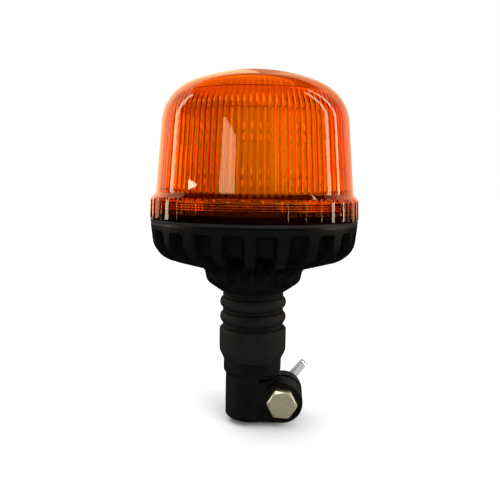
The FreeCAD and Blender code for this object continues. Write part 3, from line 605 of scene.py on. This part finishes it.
black_plastic = surface(
    "black_plastic", grey(0.003), grey(0.005), rough=(0.26, 0.4),
    cloud_mm=9, grain_mm=0.35, grain_height_mm=0.01)
# Pocket floors: rougher, matt plastic, also a little darker as painted shade in the recesses
pocket_plastic = surface(
    "pocket_plastic", grey(0.002), grey(0.004), rough=(0.6, 0.75),
    cloud_mm=9, grain_mm=0.35, grain_height_mm=0.012, fixed=MATT)
rim_plastic = surface(
    "rim_plastic", grey(0.003), grey(0.006), rough=(0.55, 0.7),
    cloud_mm=9, grain_mm=0.35, grain_height_mm=0.012, fixed=MATT)
surface(
    "clamp_plastic", grey(0.003), grey(0.006), rough=(0.45, 0.6),
    cloud_mm=7, grain_mm=0.3, grain_height_mm=0.015)
surface(
    "carrier_plastic", grey(0.01), grey(0.018), rough=(0.5, 0.65),
    cloud_mm=4, grain_mm=0.3, grain_height_mm=0.01, fixed=MATT)
rubber = surface(
    "black_rubber", grey(0.006), grey(0.01), rough=(0.6, 0.78),
    cloud_mm=6, grain_mm=0.4, grain_height_mm=0.02)
sheath = surface(
    "lead_sheath", grey(0.025), grey(0.045), rough=(0.5, 0.65),
    cloud_mm=3, grain_mm=0.3, grain_height_mm=0.01)

zinc = surface(
    "zinc_steel", (0.4, 0.37, 0.23), (0.44, 0.41, 0.28), rough=(0.22, 0.3),
    cloud_mm=6, grain_mm=2.5, grain_height_mm=0.0015, fixed=PLATED)
chrome = surface(
    "bright_nut", grey(0.84), grey(0.92), rough=(0.08, 0.16),
    cloud_mm=4, grain_mm=1.6, grain_height_mm=0.004, fixed=CHROMED)
surface(
    "contact_brass", (0.6, 0.42, 0.16), (0.75, 0.55, 0.25), rough=(0.2, 0.4),
    cloud_mm=2, grain_mm=0.4, grain_height_mm=0.006, fixed=METAL)
surface(
    "tower_alloy", grey(0.5), grey(0.6), rough=(0.3, 0.5),
    cloud_mm=8, grain_mm=0.5, grain_height_mm=0.008, fixed=PLATED, stretch=(1, 1, 0.05))
surface(
    "can_alloy", (0.6, 0.6, 0.62), (0.72, 0.72, 0.74), rough=(0.25, 0.4),
    cloud_mm=3, grain_mm=0.4, grain_height_mm=0.005, fixed=METAL)

board_white = surface(
    "board_white", (0.62, 0.78, 0.42), (0.7, 0.86, 0.5), rough=(0.4, 0.5),
    cloud_mm=3, grain_mm=0.4, grain_height_mm=0.005)
upright_stripes(
    board_white, TOWER_SIDES, LED_STRIP_SHARE, edge=0.02, colour=(0.8, 0.8, 0.75),
    z_from=z_lens, z_to=z_apex)
# Painted shade: the boards nearly black below the collar, where the skirt and the rim shade them
shade_by_height(
    board_white, z_shaded=z_collar - BOARD_SHADE_REACH, z_plain=z_collar + BOARD_SHADE_REACH,
    colour=(0.1, 0.07, 0.05))
surface(
    "led_yellow", (0.95, 0.92, 0.5), (1.0, 0.98, 0.62), rough=(0.3, 0.45),
    cloud_mm=0.8, grain_mm=0.2, grain_height_mm=0.004)
clear_optic = surface(
    "clear_optic", (0.95, 0.97, 0.8), (1.0, 1.0, 0.86), rough=(0.08, 0.15),
    cloud_mm=2, grain_mm=0.6, grain_height_mm=0.0005)
# Painted shade on the flanks of each optic, so that its middle shows as a bright speck like a glint
shade_flanks(clear_optic, cos_shaded=0.955, cos_plain=0.985, colour=(0.66, 0.76, 0.5))
surface(
    "cap_plastic", (0.56, 0.56, 0.55), (0.64, 0.64, 0.63), rough=(0.3, 0.42),
    cloud_mm=5, grain_mm=0.4, grain_height_mm=0.006)

surface(
    "board_green", (0.015, 0.13, 0.05), (0.03, 0.22, 0.09), rough=(0.3, 0.45),
    cloud_mm=2, grain_mm=0.4, grain_height_mm=0.006)
surface(
    "ferrite", (0.07, 0.06, 0.06), (0.11, 0.1, 0.1), rough=(0.5, 0.7),
    cloud_mm=1.5, grain_mm=0.3, grain_height_mm=0.02)
surface(
    "chip_black", grey(0.02), grey(0.035), rough=(0.45, 0.6),
    cloud_mm=1.5, grain_mm=0.15, grain_height_mm=0.01)
surface(
    "terminal_plastic", (0.035, 0.24, 0.09), (0.05, 0.32, 0.13), rough=(0.3, 0.42),
    cloud_mm=3, grain_mm=0.3, grain_height_mm=0.006)
surface(
    "led_wire", (0.5, 0.035, 0.03), (0.65, 0.06, 0.05), rough=(0.35, 0.45),
    cloud_mm=2, grain_mm=0.3, grain_height_mm=0.005)

for part in frame["record"]["subparts"]:
    node = frame["nodes"][part["node"]]
    node.data.materials.clear()
    node.data.materials.append(finishes[part["material_slot"]])


# Lens: smooth dome outside, flutes inside, skirt with grip strips

dome_foot = Vector((COLLAR_R - COLLAR_STEP, z_collar + COLLAR_BEVEL_H))
wall_up = Vector((-math.sin(DOME_DRAFT), math.cos(DOME_DRAFT)))
wall_in = Vector((-math.cos(DOME_DRAFT), -math.sin(DOME_DRAFT)))
crown_centre = Vector((0, z_apex - CROWN_R))


def shoulder_centre():
    """Centre of the round that touches the dome's wall and its crown."""
    start = dome_foot + wall_in * SHOULDER_ROUND - crown_centre
    reach = CROWN_R - SHOULDER_ROUND
    along = start.dot(wall_up)
    rise = -along + math.sqrt(along ** 2 - start.dot(start) + reach ** 2)
    return start + crown_centre + wall_up * rise


def dome_line(inset):
    """Section of the dome, moved in by inset, from the apex down to the foot of its wall."""
    centre = shoulder_centre()
    crown_way = (centre - crown_centre).normalized()
    apex = crown_centre + Vector((0, CROWN_R - inset))
    crown_edge = crown_centre + crown_way * (CROWN_R - inset)
    wall_top = centre - wall_in * (SHOULDER_ROUND - inset)
    line = arc(crown_centre, apex, crown_edge, CROWN_ARC_STEP)
    line += arc(centre, crown_edge, wall_top, SHOULDER_ARC_STEP)[1:]
    line.append(dome_foot + wall_in * inset)
    line[0].x = 0
    return line


flute_end_out = Vector((FLUTE_TOP_R - shoulder_centre().x, 0))
flute_end_out.y = math.sqrt((SHOULDER_ROUND - LENS_WALL) ** 2 - flute_end_out.x ** 2)
flute_end = shoulder_centre() + flute_end_out
crown_start = flute_end + flute_end_out.normalized() * CROWN_STEP


def lens_outside():
    """Outer section from the apex to the middle of the skirt's bottom edge."""
    line = dome_line(0)[:-1]
    return line + rounded([
        line[-1],
        (*dome_foot, COLLAR_EDGE),
        (COLLAR_R - COLLAR_DRAFT, z_collar, COLLAR_EDGE),
        (COLLAR_R, z_lens, SKIRT_EDGE),
        (COLLAR_R - SKIRT_WALL / 2, z_lens),
    ])[1:]


def lens_inside():
    """Inner section from the skirt's bottom to the apex, with fine lines in the skirt."""
    skirt_in_r = COLLAR_R - SKIRT_WALL
    z_step = z_lens + SKIRT_INNER_H
    line = [Vector((skirt_in_r, z_lens))]
    first_line_z = z_step - (SKIRT_LINES + 0.5) * SKIRT_LINE_PITCH
    for k in range(SKIRT_LINES):
        z = first_line_z + k * SKIRT_LINE_PITCH
        line.append(Vector((skirt_in_r, z)))
        line.append(Vector((skirt_in_r + SKIRT_LINE_DEPTH, z + SKIRT_LINE_PITCH / 2)))
    line.append(Vector((skirt_in_r, first_line_z + SKIRT_LINES * SKIRT_LINE_PITCH)))
    line.append(Vector((skirt_in_r, z_step)))
    fluted = [p for p in dome_line(LENS_WALL) if p.y < flute_end.y - CROWN_STEP_CLEAR]
    plain = [p for p in dome_line(LENS_WALL - CROWN_STEP) if p.y > crown_start.y + CROWN_STEP_CLEAR]
    foot = fluted.pop()
    foot += wall_up * ((z_step - foot.y) / wall_up.y)
    line.append(foot)
    line += fluted[::-1] + [flute_end, crown_start] + plain[::-1]
    return line


def flute_depth(z, angle):
    """Depth of the round flutes at a point of the inside wall."""
    above_foot = z - (z_collar + FLUTE_FOOT_H)
    foot = ramp(above_foot - FLUTE_FOOT_FADE_H / 2, FLUTE_FOOT_FADE_H)
    top = ramp(flute_end.y - z - FLUTE_TOP_FADE_H / 2, FLUTE_TOP_FADE_H)
    across = (angle * FLUTES / (2 * math.pi)) % 1.0
    return FLUTE_DEPTH * foot * top * (2 * across - 1) ** 2


def grip_height(z, angle):
    """Height of the raised strips at a point of the skirt's outside."""
    pitch = 2 * math.pi / GRIPS
    off = abs((angle + pitch / 2) % pitch - pitch / 2) * COLLAR_R
    side = GRIP_W / 2 - off
    end = min(z - z_lens - GRIP_FOOT, z_collar - GRIP_FOOT - z)
    return GRIP_T * ramp(side, GRIP_RAMP) * ramp(end, 2 * GRIP_RAMP)


def lens_ring(p, out_at):
    """Ring of the lens through a section point; out_at moves it out at a height and an angle."""
    if p.x < ON_AXIS:
        return [turned(0, p.y, 0)]
    return [turned(p.x + out_at(p.y, a), p.y, a) for a in even(FLUTES * FLUTE_STEPS)]


def lens_rings():
    """Rings from the apex down the outside and back up the inside."""
    def outer_step(p):
        return SKIRT_RING_STEP if p.y < z_collar + SKIRT_RINGS_ABOVE else DOME_RING_STEP

    rings = []
    for p in divided(lens_outside(), outer_step):
        rings.append(lens_ring(p, grip_height if p.y < z_collar else lambda z, a: 0.0))
    for p in divided(lens_inside(), lambda p: INNER_RING_STEP):
        rings.append(lens_ring(p, flute_depth))
    return rings


lens = piece("lens", skin(lens_rings(), False), ["dome_lens"], amber)
lens.data.materials.append(rim_plastic)
for face in lens.data.polygons:
    inner = math.hypot(face.center.x, face.center.y) < (COLLAR_R - SKIRT_WALL + SKIRT_FACE_SLACK) * MM
    if inner and face.center.z < (z_lens + RIM_SHOWS_H) * MM:
        face.material_index = 1
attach(lens, "head")


# Base: finned bowl on a cup

def base_outside():
    """Outer section from the top edge of the bowl to the foot of the cup."""
    mouth = Vector((CUP_MOUTH_R, z_base + CUP_H))
    drop = z_bowl_top - mouth.y + BOWL_SLOPE * mouth.x
    edge_r = (base_r - BOWL_DRAFT * drop) / (1 - BOWL_DRAFT * BOWL_SLOPE)
    return rounded([
        (base_r - SEAL_GROOVE_DEPTH, z_bowl_top),
        (base_r, z_bowl_top, BOWL_EDGE),
        (edge_r, mouth.y + BOWL_SLOPE * (edge_r - mouth.x), BOWL_ROUND),
        (*mouth, CUP_MOUTH_ROUND),
        (CUP_BEND_R, z_base + CUP_BEND_H, CUP_ROUND),
        (CUP_FOOT_R, z_base, CUP_FOOT_ROUND),
        (NECK_STUB_R + NECK_STUB_GAP, z_base),
    ])


def base_inside():
    """Inner section from the foot of the cup up to the seal groove."""
    cup_r = CUP_MOUTH_R - POCKET_CUP_DEPTH - BASE_WALL
    bowl_r = base_r - POCKET_DEPTH - BASE_WALL
    rim_r = COLLAR_R - SKIRT_WALL - RIM_GAP
    return [Vector(p) for p in (
        (NECK_STUB_R + NECK_STUB_GAP, z_cup_floor),
        (cup_r - CUP_FLOOR_BEVEL, z_cup_floor),
        (cup_r, z_cup_floor + CUP_BEND_H),
        (cup_r, z_base + CUP_H + POCKET_DEPTH + BASE_WALL),
        (bowl_r - BOWL_INNER_STEP, z_bowl_top - BOWL_INNER_DROP),
        (bowl_r, z_rim_top - PLATE_DROP),
        (rim_r - RIM_WALL, z_rim_top - PLATE_DROP),
        (rim_r - RIM_WALL, z_rim_top),
        (rim_r, z_rim_top),
        (rim_r, z_gasket),
        (base_r - SEAL_GROOVE_DEPTH, z_gasket),
    )]


def pocket_depth(r):
    """Depth of the pockets between the fins, which run out on the cup."""
    past_cup = r - (CUP_MOUTH_R - POCKET_CUP_DEPTH)
    if past_cup <= 0:
        return 0.0
    deeper = (POCKET_DEPTH - POCKET_CUP_DEPTH) * ramp(past_cup - POCKET_END / 2, POCKET_END)
    return min(past_cup, POCKET_CUP_DEPTH) + deeper


def fin_angles(r):
    """Angles round the base at a radius, close together at the sides of each pocket."""
    edge = POCKET_ANGLE / 2 + POCKET_RAMP / 2 / r
    half = [edge - share * POCKET_RAMP / r for share in POCKET_RAMP_SHARES]
    angles = []
    for k in range(FINS):
        middle = FIN_TURN - math.pi / 2 + 2 * math.pi * (k + 0.5) / FINS
        angles += [middle - a for a in half] + [middle] + [middle + a for a in half[::-1]]
        angles.append(middle + math.pi / FINS)
    return angles


def in_pocket(r, z, angle):
    """How far a point is in a pocket, from 0 on a fin to 1 on the pocket's floor."""
    pitch = 2 * math.pi / FINS
    off = abs((angle - FIN_TURN + math.pi / 2) % pitch - pitch / 2)
    side = (POCKET_ANGLE / 2 - off) * r
    end = z_bowl_top - POCKET_TOP_DROP - z
    corner = Vector((max(0.0, POCKET_ROUND - side), max(0.0, POCKET_ROUND - end)))
    inside = POCKET_ROUND - corner.length if corner.x > 0 and corner.y > 0 else min(side, end)
    return ramp(inside, POCKET_RAMP)


def base_rings():
    """Rings down the outside of the bowl and cup and back up the inside."""
    z_pocket = z_bowl_top - POCKET_TOP_DROP

    def outer_step(p):
        return POCKET_TOP_RING_STEP if abs(p.y - z_pocket) < POCKET_TOP_REACH else BASE_RING_STEP

    line = divided(base_outside(), outer_step)
    rings = []
    for i, p in enumerate(line):
        way = line[min(i + 1, len(line) - 1)] - line[max(i - 1, 0)]
        inward = Vector((way.y, -way.x)).normalized()
        deep = pocket_depth(p.x) if p.y < z_pocket + POCKET_RAMP else 0.0
        ring = []
        for a in fin_angles(p.x):
            q = p + inward * deep * in_pocket(p.x, p.y, a) if deep else p
            ring.append(turned(q.x, q.y, a))
        rings.append(ring)
    for p in base_inside():
        rings.append([turned(p.x, p.y, a) for a in fin_angles(p.x)])
    return rings


base = piece("base", skin(base_rings(), True), ["base_housing"], black_plastic)
base.data.materials.append(rim_plastic)
base.data.materials.append(pocket_plastic)
# Rim faces get the rim plastic; pocket floors get the darker pocket plastic, painted shade in the recesses
for face in base.data.polygons:
    x, y, z = face.center / MM
    r = math.hypot(x, y)
    if z > z_gasket - RIM_FACE_SLACK:
        face.material_index = 1
    elif r > CUP_BEND_R and in_pocket(r, z, math.atan2(y, x)) > POCKET_SHOWS:
        face.material_index = 2
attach(base, "head")


# Neck: cuff and bellows, split in a groove into two halves

def fold(r, z, height, foot_r, top_r):
    """Section of one fold of the bellows: a full half ellipse from its foot to its top."""
    points = []
    for k in range(FOLD_STEPS + 1):
        share = k / FOLD_STEPS
        inner_r = foot_r + (top_r - foot_r) * share
        out = math.sin(math.pi * share) ** FOLD_FULLNESS
        points.append((inner_r + (r - inner_r) * out, z + height * (1 - math.cos(math.pi * share)) / 2))
    return points


def fold_pair(z):
    """Section of a small fold with a large one above it."""
    ridge = fold(RIDGE_R, z, RIDGE_H, FINE_GROOVE_R, FINE_GROOVE_R)
    return ridge + fold(BULGE_R, z + RIDGE_H + GROOVE_H, BULGE_H, FINE_GROOVE_R, GROOVE_R)


def neck_half(name, outside, inside):
    """Half of the neck, turned from its outer corners and its inner points."""
    section = divided(rounded(outside), lambda p: NECK_RING_STEP) + [Vector(p) for p in inside]
    rings = [[turned(p.x, p.y, a) for a in even(NECK_SIDES)] for p in section]
    return piece(name, skin(rings, True), ["flex_neck"], rubber)


neck_lower = neck_half(
    "neck_lower",
    outside=[
        (SHOULDER_R - CUFF_LIP, z_cuff),
        (SHOULDER_R + CUFF_FOOT_STEP, z_cuff, CUFF_FOOT_ROUND),
        (CUFF_R, z_cuff + CUFF_FLARE_H, CUFF_FLARE_H),
        (CUFF_R, z_bellows, CUFF_EDGE),
        (FINE_GROOVE_R, z_bellows + CUFF_TOP_RISE),
        *fold_pair(z_first_fold),
        (GROOVE_R, z_split),
    ],
    inside=[
        (NECK_BORE_R, z_split),
        (NECK_BORE_R, z_bellows),
        (TUBE_CLEAR_R, z_bellows - TUBE_TOP_GAP),
        (TUBE_CLEAR_R, z_cuff + TUBE_TAPER_H),
    ],
)
neck_upper = neck_half(
    "neck_upper",
    outside=[
        (NECK_BORE_R, z_split),
        (GROOVE_R, z_split),
        *fold_pair(z_first_fold + fold_pitch),
        *fold(RIDGE_R, z_first_fold + 2 * fold_pitch, RIDGE_H, GROOVE_R, FINE_GROOVE_R),
        (FINE_GROOVE_R, z_base),
        (NECK_STUB_R, z_base),
    ],
    inside=[
        (NECK_STUB_R, z_base + NECK_STUB_H),
        (LEAD_BORE_R, z_base + NECK_STUB_H),
        (LEAD_BORE_R, z_split + NECK_WEB_H),
        (NECK_BORE_R, z_split + NECK_WEB_H),
    ],
)
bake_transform(neck_lower)
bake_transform(neck_upper)


# Supply lead inside the neck, in three lengths: the tail, attached to the stem, and the lower and upper
# lengths

lead_r = high("supply_lead")[1]
lead_end_x = high("supply_lead")[0]
z_lead = low("supply_lead")[2]
z_tail = z_lead + LEAD_TAIL
z_lead_turn = high("supply_lead")[2] - lead_r
turn_start = Vector((0, 0, z_lead_turn - LEAD_BEND))
turn_end = Vector((LEAD_BEND, 0, z_lead_turn))
turn_centre = Vector((LEAD_BEND, 0, z_lead_turn - LEAD_BEND))


def tube(route, r):
    """Closed round tube along points of a route in the XZ plane."""
    side = Vector((0, 1, 0))
    rings = [[route[0]]]
    for i, p in enumerate(route):
        way = (route[min(i + 1, len(route) - 1)] - route[max(i - 1, 0)]).normalized()
        across = way.cross(side)
        rings.append([p + (side * math.cos(a) + across * math.sin(a)) * r for a in even(LEAD_SIDES)])
    rings.append([route[-1]])
    return skin(rings, False)


def lead_piece(name, corners):
    """Length of the supply lead along some corners."""
    route = divided([Vector(p) for p in corners], lambda p: LEAD_RING_STEP)
    return piece(name, tube(route, lead_r), ["supply_lead"], sheath)


lead_tail = lead_piece("lead_tail", [(0, 0, z_lead), (0, 0, z_tail)])
lead_lower = lead_piece("lead_lower", [(0, 0, z_tail), (0, 0, z_split)])
lead_upper = lead_piece("lead_upper", [
    (0, 0, z_split),
    *arc(turn_centre, turn_start, turn_end, LEAD_BEND_STEP),
    (lead_end_x, 0, z_lead_turn),
])
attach(lead_tail, "stem")
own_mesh(lead_tail)
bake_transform(lead_lower)
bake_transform(lead_upper)


# Contact spring: a copy of the solid, attached to the stem

spring_mesh = frame["nodes"]["contact_spring"].data.copy()
spring_mesh.materials.clear()
spring = piece("spring", spring_mesh, ["contact_spring"], zinc, SOFT_CREASE)
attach(spring, "stem")
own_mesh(spring)


# Clamp bolt: hexagon head with a turned bevel, shank with a rolled thread

hex_corner_r = HEX_FLATS / 2 / math.cos(math.pi / 6)


def hex_radius(angle):
    """Radius of the head's hexagon, with slightly blunt corners."""
    off = (angle + HEX_TURN) % (math.pi / 3) - math.pi / 6
    return min(HEX_FLATS / 2 / math.cos(off), hex_corner_r - HEX_CORNER / 4)


def thread_radius(turns, angle):
    """Radius of the thread some turns from its start; it deepens over the first turn."""
    phase = (turns + angle / (2 * math.pi)) % 1.0
    depth = THREAD_DEPTH * min(1.0, turns) * (1 - abs(2 * phase - 1))
    return BOLT_R - THREAD_CREST_DROP - depth


def bolt_ring(y, radius_at):
    """Ring round the bolt's axis; radius_at gives its radius at an angle."""
    points = []
    for a in even(BOLT_SIDES):
        r = radius_at(a)
        points.append(Vector((bolt_x + r * math.cos(a), y, bolt_z + r * math.sin(a))))
    return points


def bolt_rings():
    """Rings from the middle of the head's face to the middle of the bolt's end."""
    face_r = HEX_FLATS / 2 - HEX_FACE_STEP
    bevel_y = bolt_head_y + HEX_FACE_DISH
    seat_y = bolt_head_y + HEX_H
    rings = [[Vector((bolt_x, bolt_head_y, bolt_z))]]
    for share in HEX_FACE_SHARES:
        rings.append(bolt_ring(bolt_head_y, lambda a: face_r * share))
    rings.append(bolt_ring(bevel_y, lambda a: face_r))
    for k in range(1, HEX_BEVEL_STEPS + 1):
        cone_r = face_r + (hex_corner_r - face_r) * k / HEX_BEVEL_STEPS
        y = bevel_y + (HEX_BEVEL - HEX_FACE_DISH) * k / HEX_BEVEL_STEPS
        rings.append(bolt_ring(y, lambda a: min(hex_radius(a), cone_r)))
    rings.append(bolt_ring(seat_y - HEX_SEAT_EDGE, hex_radius))
    rings.append(bolt_ring(seat_y, lambda a: hex_radius(a) - HEX_SEAT_EDGE))
    rings.append(bolt_ring(seat_y, lambda a: BOLT_R))
    thread_y = bolt_end_y - THREAD_LENGTH
    rings.append(bolt_ring(thread_y, lambda a: BOLT_R))
    count = int((THREAD_LENGTH - BOLT_END_CHAMFER) / THREAD_PITCH * THREAD_STEPS)
    for k in range(1, count + 1):
        y = thread_y + k * THREAD_PITCH / THREAD_STEPS
        rings.append(bolt_ring(y, lambda a: thread_radius(k / THREAD_STEPS, a)))
    rings.append(bolt_ring(bolt_end_y, lambda a: BOLT_R - BOLT_END_CHAMFER))
    rings.append([Vector((bolt_x, bolt_end_y, bolt_z))])
    return rings


bolt = piece("bolt", skin(bolt_rings(), False), ["clamp_bolt"], zinc, BOLT_CREASE)
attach(bolt, "stem")


# Wing nut: the solid with its edges softened as on a casting

def softened(node):
    """Copy of a node's mesh with rounded edges."""
    obj = bpy.data.objects.new("softened", frame["nodes"][node].data.copy())
    bpy.context.scene.collection.objects.link(obj)
    remesh = obj.modifiers.new("even", "REMESH")
    remesh.mode = "VOXEL"
    remesh.voxel_size = NUT_VOXEL * MM
    smooth = obj.modifiers.new("soft", "SMOOTH")
    smooth.iterations = NUT_SMOOTHINGS
    smooth.factor = NUT_SMOOTH_SHARE
    mesh = bpy.data.meshes.new_from_object(obj.evaluated_get(bpy.context.evaluated_depsgraph_get()))
    bpy.data.objects.remove(obj)
    mesh.materials.clear()
    return mesh


cast_nut = piece("cast_nut", softened("wing_nut"), ["wing_nut"], chrome, SOFT_CREASE)
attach(cast_nut, "nut")


# Floor, light and camera

def floor():
    """Wide pale floor under the object, left out of the gloss."""
    z = z_ground * MM
    corners = [(x * FLOOR_HALF, y * FLOOR_HALF, z) for x, y in ((-1, -1), (1, -1), (1, 1), (-1, 1))]
    mesh = bpy.data.meshes.new("floor")
    mesh.from_pydata(corners, [], [(0, 1, 2, 3)])
    obj = bpy.data.objects.new("floor", mesh)
    bpy.context.scene.collection.objects.link(obj)
    pale = surface(
        "pale_floor", (0.84, 0.84, 0.85), (0.86, 0.86, 0.87), rough=(0.7, 0.8),
        cloud_mm=60, grain_mm=3, grain_height_mm=0.01)
    mesh.materials.append(pale)
    obj.visible_glossy = False


def at_bearing(bearing, distance, height):
    """Place round the object; the bearing is in degrees from the front, and positive to the right."""
    a = math.radians(bearing)
    return (distance * math.sin(a), -distance * math.cos(a), height)


def softbox(name, place, aim, width, height, radiance, colour=WARM, in_gloss=True):
    """Flat light that shows only as a reflection in glossy surfaces, or else only lights the rest."""
    data = bpy.data.lights.new(name, "AREA")
    data.color = colour
    data.shape = "RECTANGLE"
    data.size = width
    data.size_y = height
    data.energy = radiance * math.pi * width * height
    obj = bpy.data.objects.new(name, data)
    obj.location = place
    obj.rotation_euler = (Vector(aim) - Vector(place)).to_track_quat("-Z", "Y").to_euler()
    obj.visible_camera = False
    obj.visible_glossy = in_gloss
    obj.visible_diffuse = not in_gloss
    obj.visible_transmission = not in_gloss
    bpy.context.scene.collection.objects.link(obj)
    return obj


def strip_at(name, bearing, width, height, radiance):
    """Upright strip light from the floor up."""
    middle = height / 2
    softbox(name, at_bearing(bearing, STRIP_DISTANCE, middle), (0, 0, middle), width, height, radiance)


def light_card(name, bearings_and_heights, distance, colour, radiance, through=False):
    """Lit card of any outline, which shows only as a reflection, or else only through clear surfaces."""
    mesh = bpy.data.meshes.new(name)
    corners = [at_bearing(bearing, distance, height) for bearing, height in bearings_and_heights]
    mesh.from_pydata(corners, [], [range(len(corners))])
    mat, shader = new_material(name)
    shader.inputs["Base Color"].default_value = (*BLACK, 1)
    shader.inputs["Specular IOR Level"].default_value = 0.0
    shader.inputs["Emission Color"].default_value = (*colour, 1)
    shader.inputs["Emission Strength"].default_value = radiance
    mesh.materials.append(mat)
    obj = bpy.data.objects.new(name, mesh)
    obj.visible_camera = False
    obj.visible_diffuse = False
    obj.visible_glossy = not through
    obj.visible_transmission = through
    obj.visible_shadow = False
    bpy.context.scene.collection.objects.link(obj)
    return obj


def falls_on(light, objects, state):
    """Limits a light to some objects with INCLUDE, or keeps it off them with EXCLUDE."""
    group = bpy.data.collections.new(light.name)
    for obj in objects:
        group.objects.link(obj)
    light.light_linking.receiver_collection = group
    for entry in group.collection_objects:
        entry.light_linking.link_state = state


def high_sun(strength):
    """Wide even light from above, left out of the gloss."""
    data = bpy.data.lights.new("high_sun", "SUN")
    data.energy = strength
    data.angle = SUN_ANGLE
    obj = bpy.data.objects.new("high_sun", data)
    obj.rotation_euler = SUN_TURN
    obj.visible_glossy = False
    bpy.context.scene.collection.objects.link(obj)


def world_light(backdrop, level, overhead):
    """White backdrop, with light that is dimmer from above and is left out of the gloss."""
    world = bpy.data.worlds.new("studio")
    world.use_nodes = True
    tree = world.node_tree
    coords = tree.nodes.new("ShaderNodeTexCoord")
    split = tree.nodes.new("ShaderNodeSeparateXYZ")
    fall = tree.nodes.new("ShaderNodeMapRange")
    fall.interpolation_type = "SMOOTHSTEP"
    fall.inputs["From Min"].default_value = 0.0
    fall.inputs["From Max"].default_value = OVERHEAD_FROM
    fall.inputs["To Min"].default_value = level
    fall.inputs["To Max"].default_value = overhead
    path = tree.nodes.new("ShaderNodeLightPath")
    seen = tree.nodes.new("ShaderNodeMix")
    seen.inputs["B"].default_value = backdrop
    background = tree.nodes["Background"]
    background.inputs["Color"].default_value = (*WHITE, 1)
    tree.links.new(coords.outputs["Generated"], split.inputs["Vector"])
    tree.links.new(split.outputs["Z"], fall.inputs["Value"])
    tree.links.new(path.outputs["Is Camera Ray"], seen.inputs["Factor"])
    tree.links.new(fall.outputs["Result"], seen.inputs["A"])
    tree.links.new(seen.outputs["Result"], background.inputs["Strength"])
    bpy.context.scene.world = world
    world.cycles_visibility.glossy = False


def camera():
    """Camera at the photograph's place, with its framing."""
    data = bpy.data.cameras.new("camera")
    data.sensor_width = SENSOR
    data.sensor_fit = "HORIZONTAL"
    data.lens = SENSOR * FOCAL_PIXELS / IMAGE_SIDE
    data.shift_x = -SUBJECT_RIGHT_PIXELS / IMAGE_SIDE
    obj = bpy.data.objects.new("camera", data)
    turn = Matrix.Rotation(CAMERA_TURN, 4, "Z")
    place = turn @ Vector((0, -CAMERA_DISTANCE, z_lens + CAMERA_OVER_LENS_FOOT)) * MM
    tilt = Matrix.Rotation(math.pi / 2 - CAMERA_PITCH, 4, "X")
    obj.matrix_world = Matrix.Translation(place) @ turn @ tilt @ Matrix.Rotation(CAMERA_ROLL, 4, "Z")
    bpy.context.scene.collection.objects.link(obj)
    bpy.context.scene.camera = obj


floor()
world_light(backdrop=1.0, level=1.1, overhead=0.55)
high_sun(strength=2.7)

# Upright strips that show as reflections in the lens and the black plastic
strip_at("strip_left", bearing=-102, width=0.19, height=1.5, radiance=6)
strip_at("strip_right", bearing=94, width=0.15, height=2.2, radiance=7)
strip_at("strip_far_right", bearing=111.5, width=0.12, height=2.2, radiance=6)

# Large panels behind, which are orange where they show in the lens
for side, bearing, width, plain, glow in (("left", -142, 2.2, 0.55, 1.8), ("right", 147, 2.0, 0.2, 0.7)):
    place = at_bearing(bearing, BACK_DISTANCE, BACK_MIDDLE)
    back = softbox("back_" + side, place, BACK_AIM, width, BACK_HEIGHT, plain, WHITE)
    falls_on(back, [lens], "EXCLUDE")
    orange = softbox("glow_" + side, place, BACK_AIM, width, BACK_HEIGHT, glow, ORANGE)
    falls_on(orange, [lens], "INCLUDE")
behind = softbox(
    "glow_back", at_bearing(180, 1.2, 0.8), aim=(0, 0, 0.8), width=2.6, height=1.6, radiance=0.9,
    colour=ORANGE)
falls_on(behind, [lens], "INCLUDE")

# Small lamp, and a fill for the lens, the light source and the metal
softbox("small_lamp", at_bearing(-69, 1.4, 0.33), aim=(0, 0, 0.17), width=0.28, height=0.03, radiance=20)
fill = softbox(
    "front_fill", at_bearing(40, 1.7, 1.0), aim=(0, 0, 0.15), width=1.6, height=1.2, radiance=6.5,
    colour=WHITE, in_gloss=False)
falls_on(fill, [base, neck_lower, neck_upper, frame["nodes"]["clamp_sleeve"]], "EXCLUDE")

# Window that shows as a reflection in the lens, and cards that show only through it
window_corners = [(-35.6, 0.33), (-33.7, 0.59), (-18, 0.53), (-18, 0.33)]
left_corners = [(-179, 0.15), (-179, 0.43), (-100, 0.43), (-100, 0.15)]
right_corners = [(178, 0.1), (178, 0.6), (110, 0.6), (110, 0.1)]
window = light_card("window", window_corners, WINDOW_DISTANCE, CREAM, radiance=6.5)
falls_on(window, [lens], "INCLUDE")
light_card("through_left", left_corners, CARD_DISTANCE, DEEP_RED, radiance=1.0, through=True)
light_card("through_right", right_corners, CARD_DISTANCE, PALE, radiance=2.4, through=True)

# Panels that show only in the bolt and the wing nut
for bearing, height, size, radiance in ((-14, 0.75, 0.6, 8.0), (-62, 0.2, 0.8, 2.5), (62, 0.2, 0.8, 2.5)):
    for metal, share in ((bolt, 1.0), (cast_nut, NUT_GLEAM)):
        place = at_bearing(bearing, GLEAM_DISTANCE, height)
        gleam = softbox("gleam", place, GLEAM_AIM, size, size, radiance * share, WHITE)
        falls_on(gleam, [metal], "INCLUDE")

camera()
bpy.context.scene.view_settings.view_transform = "Standard"
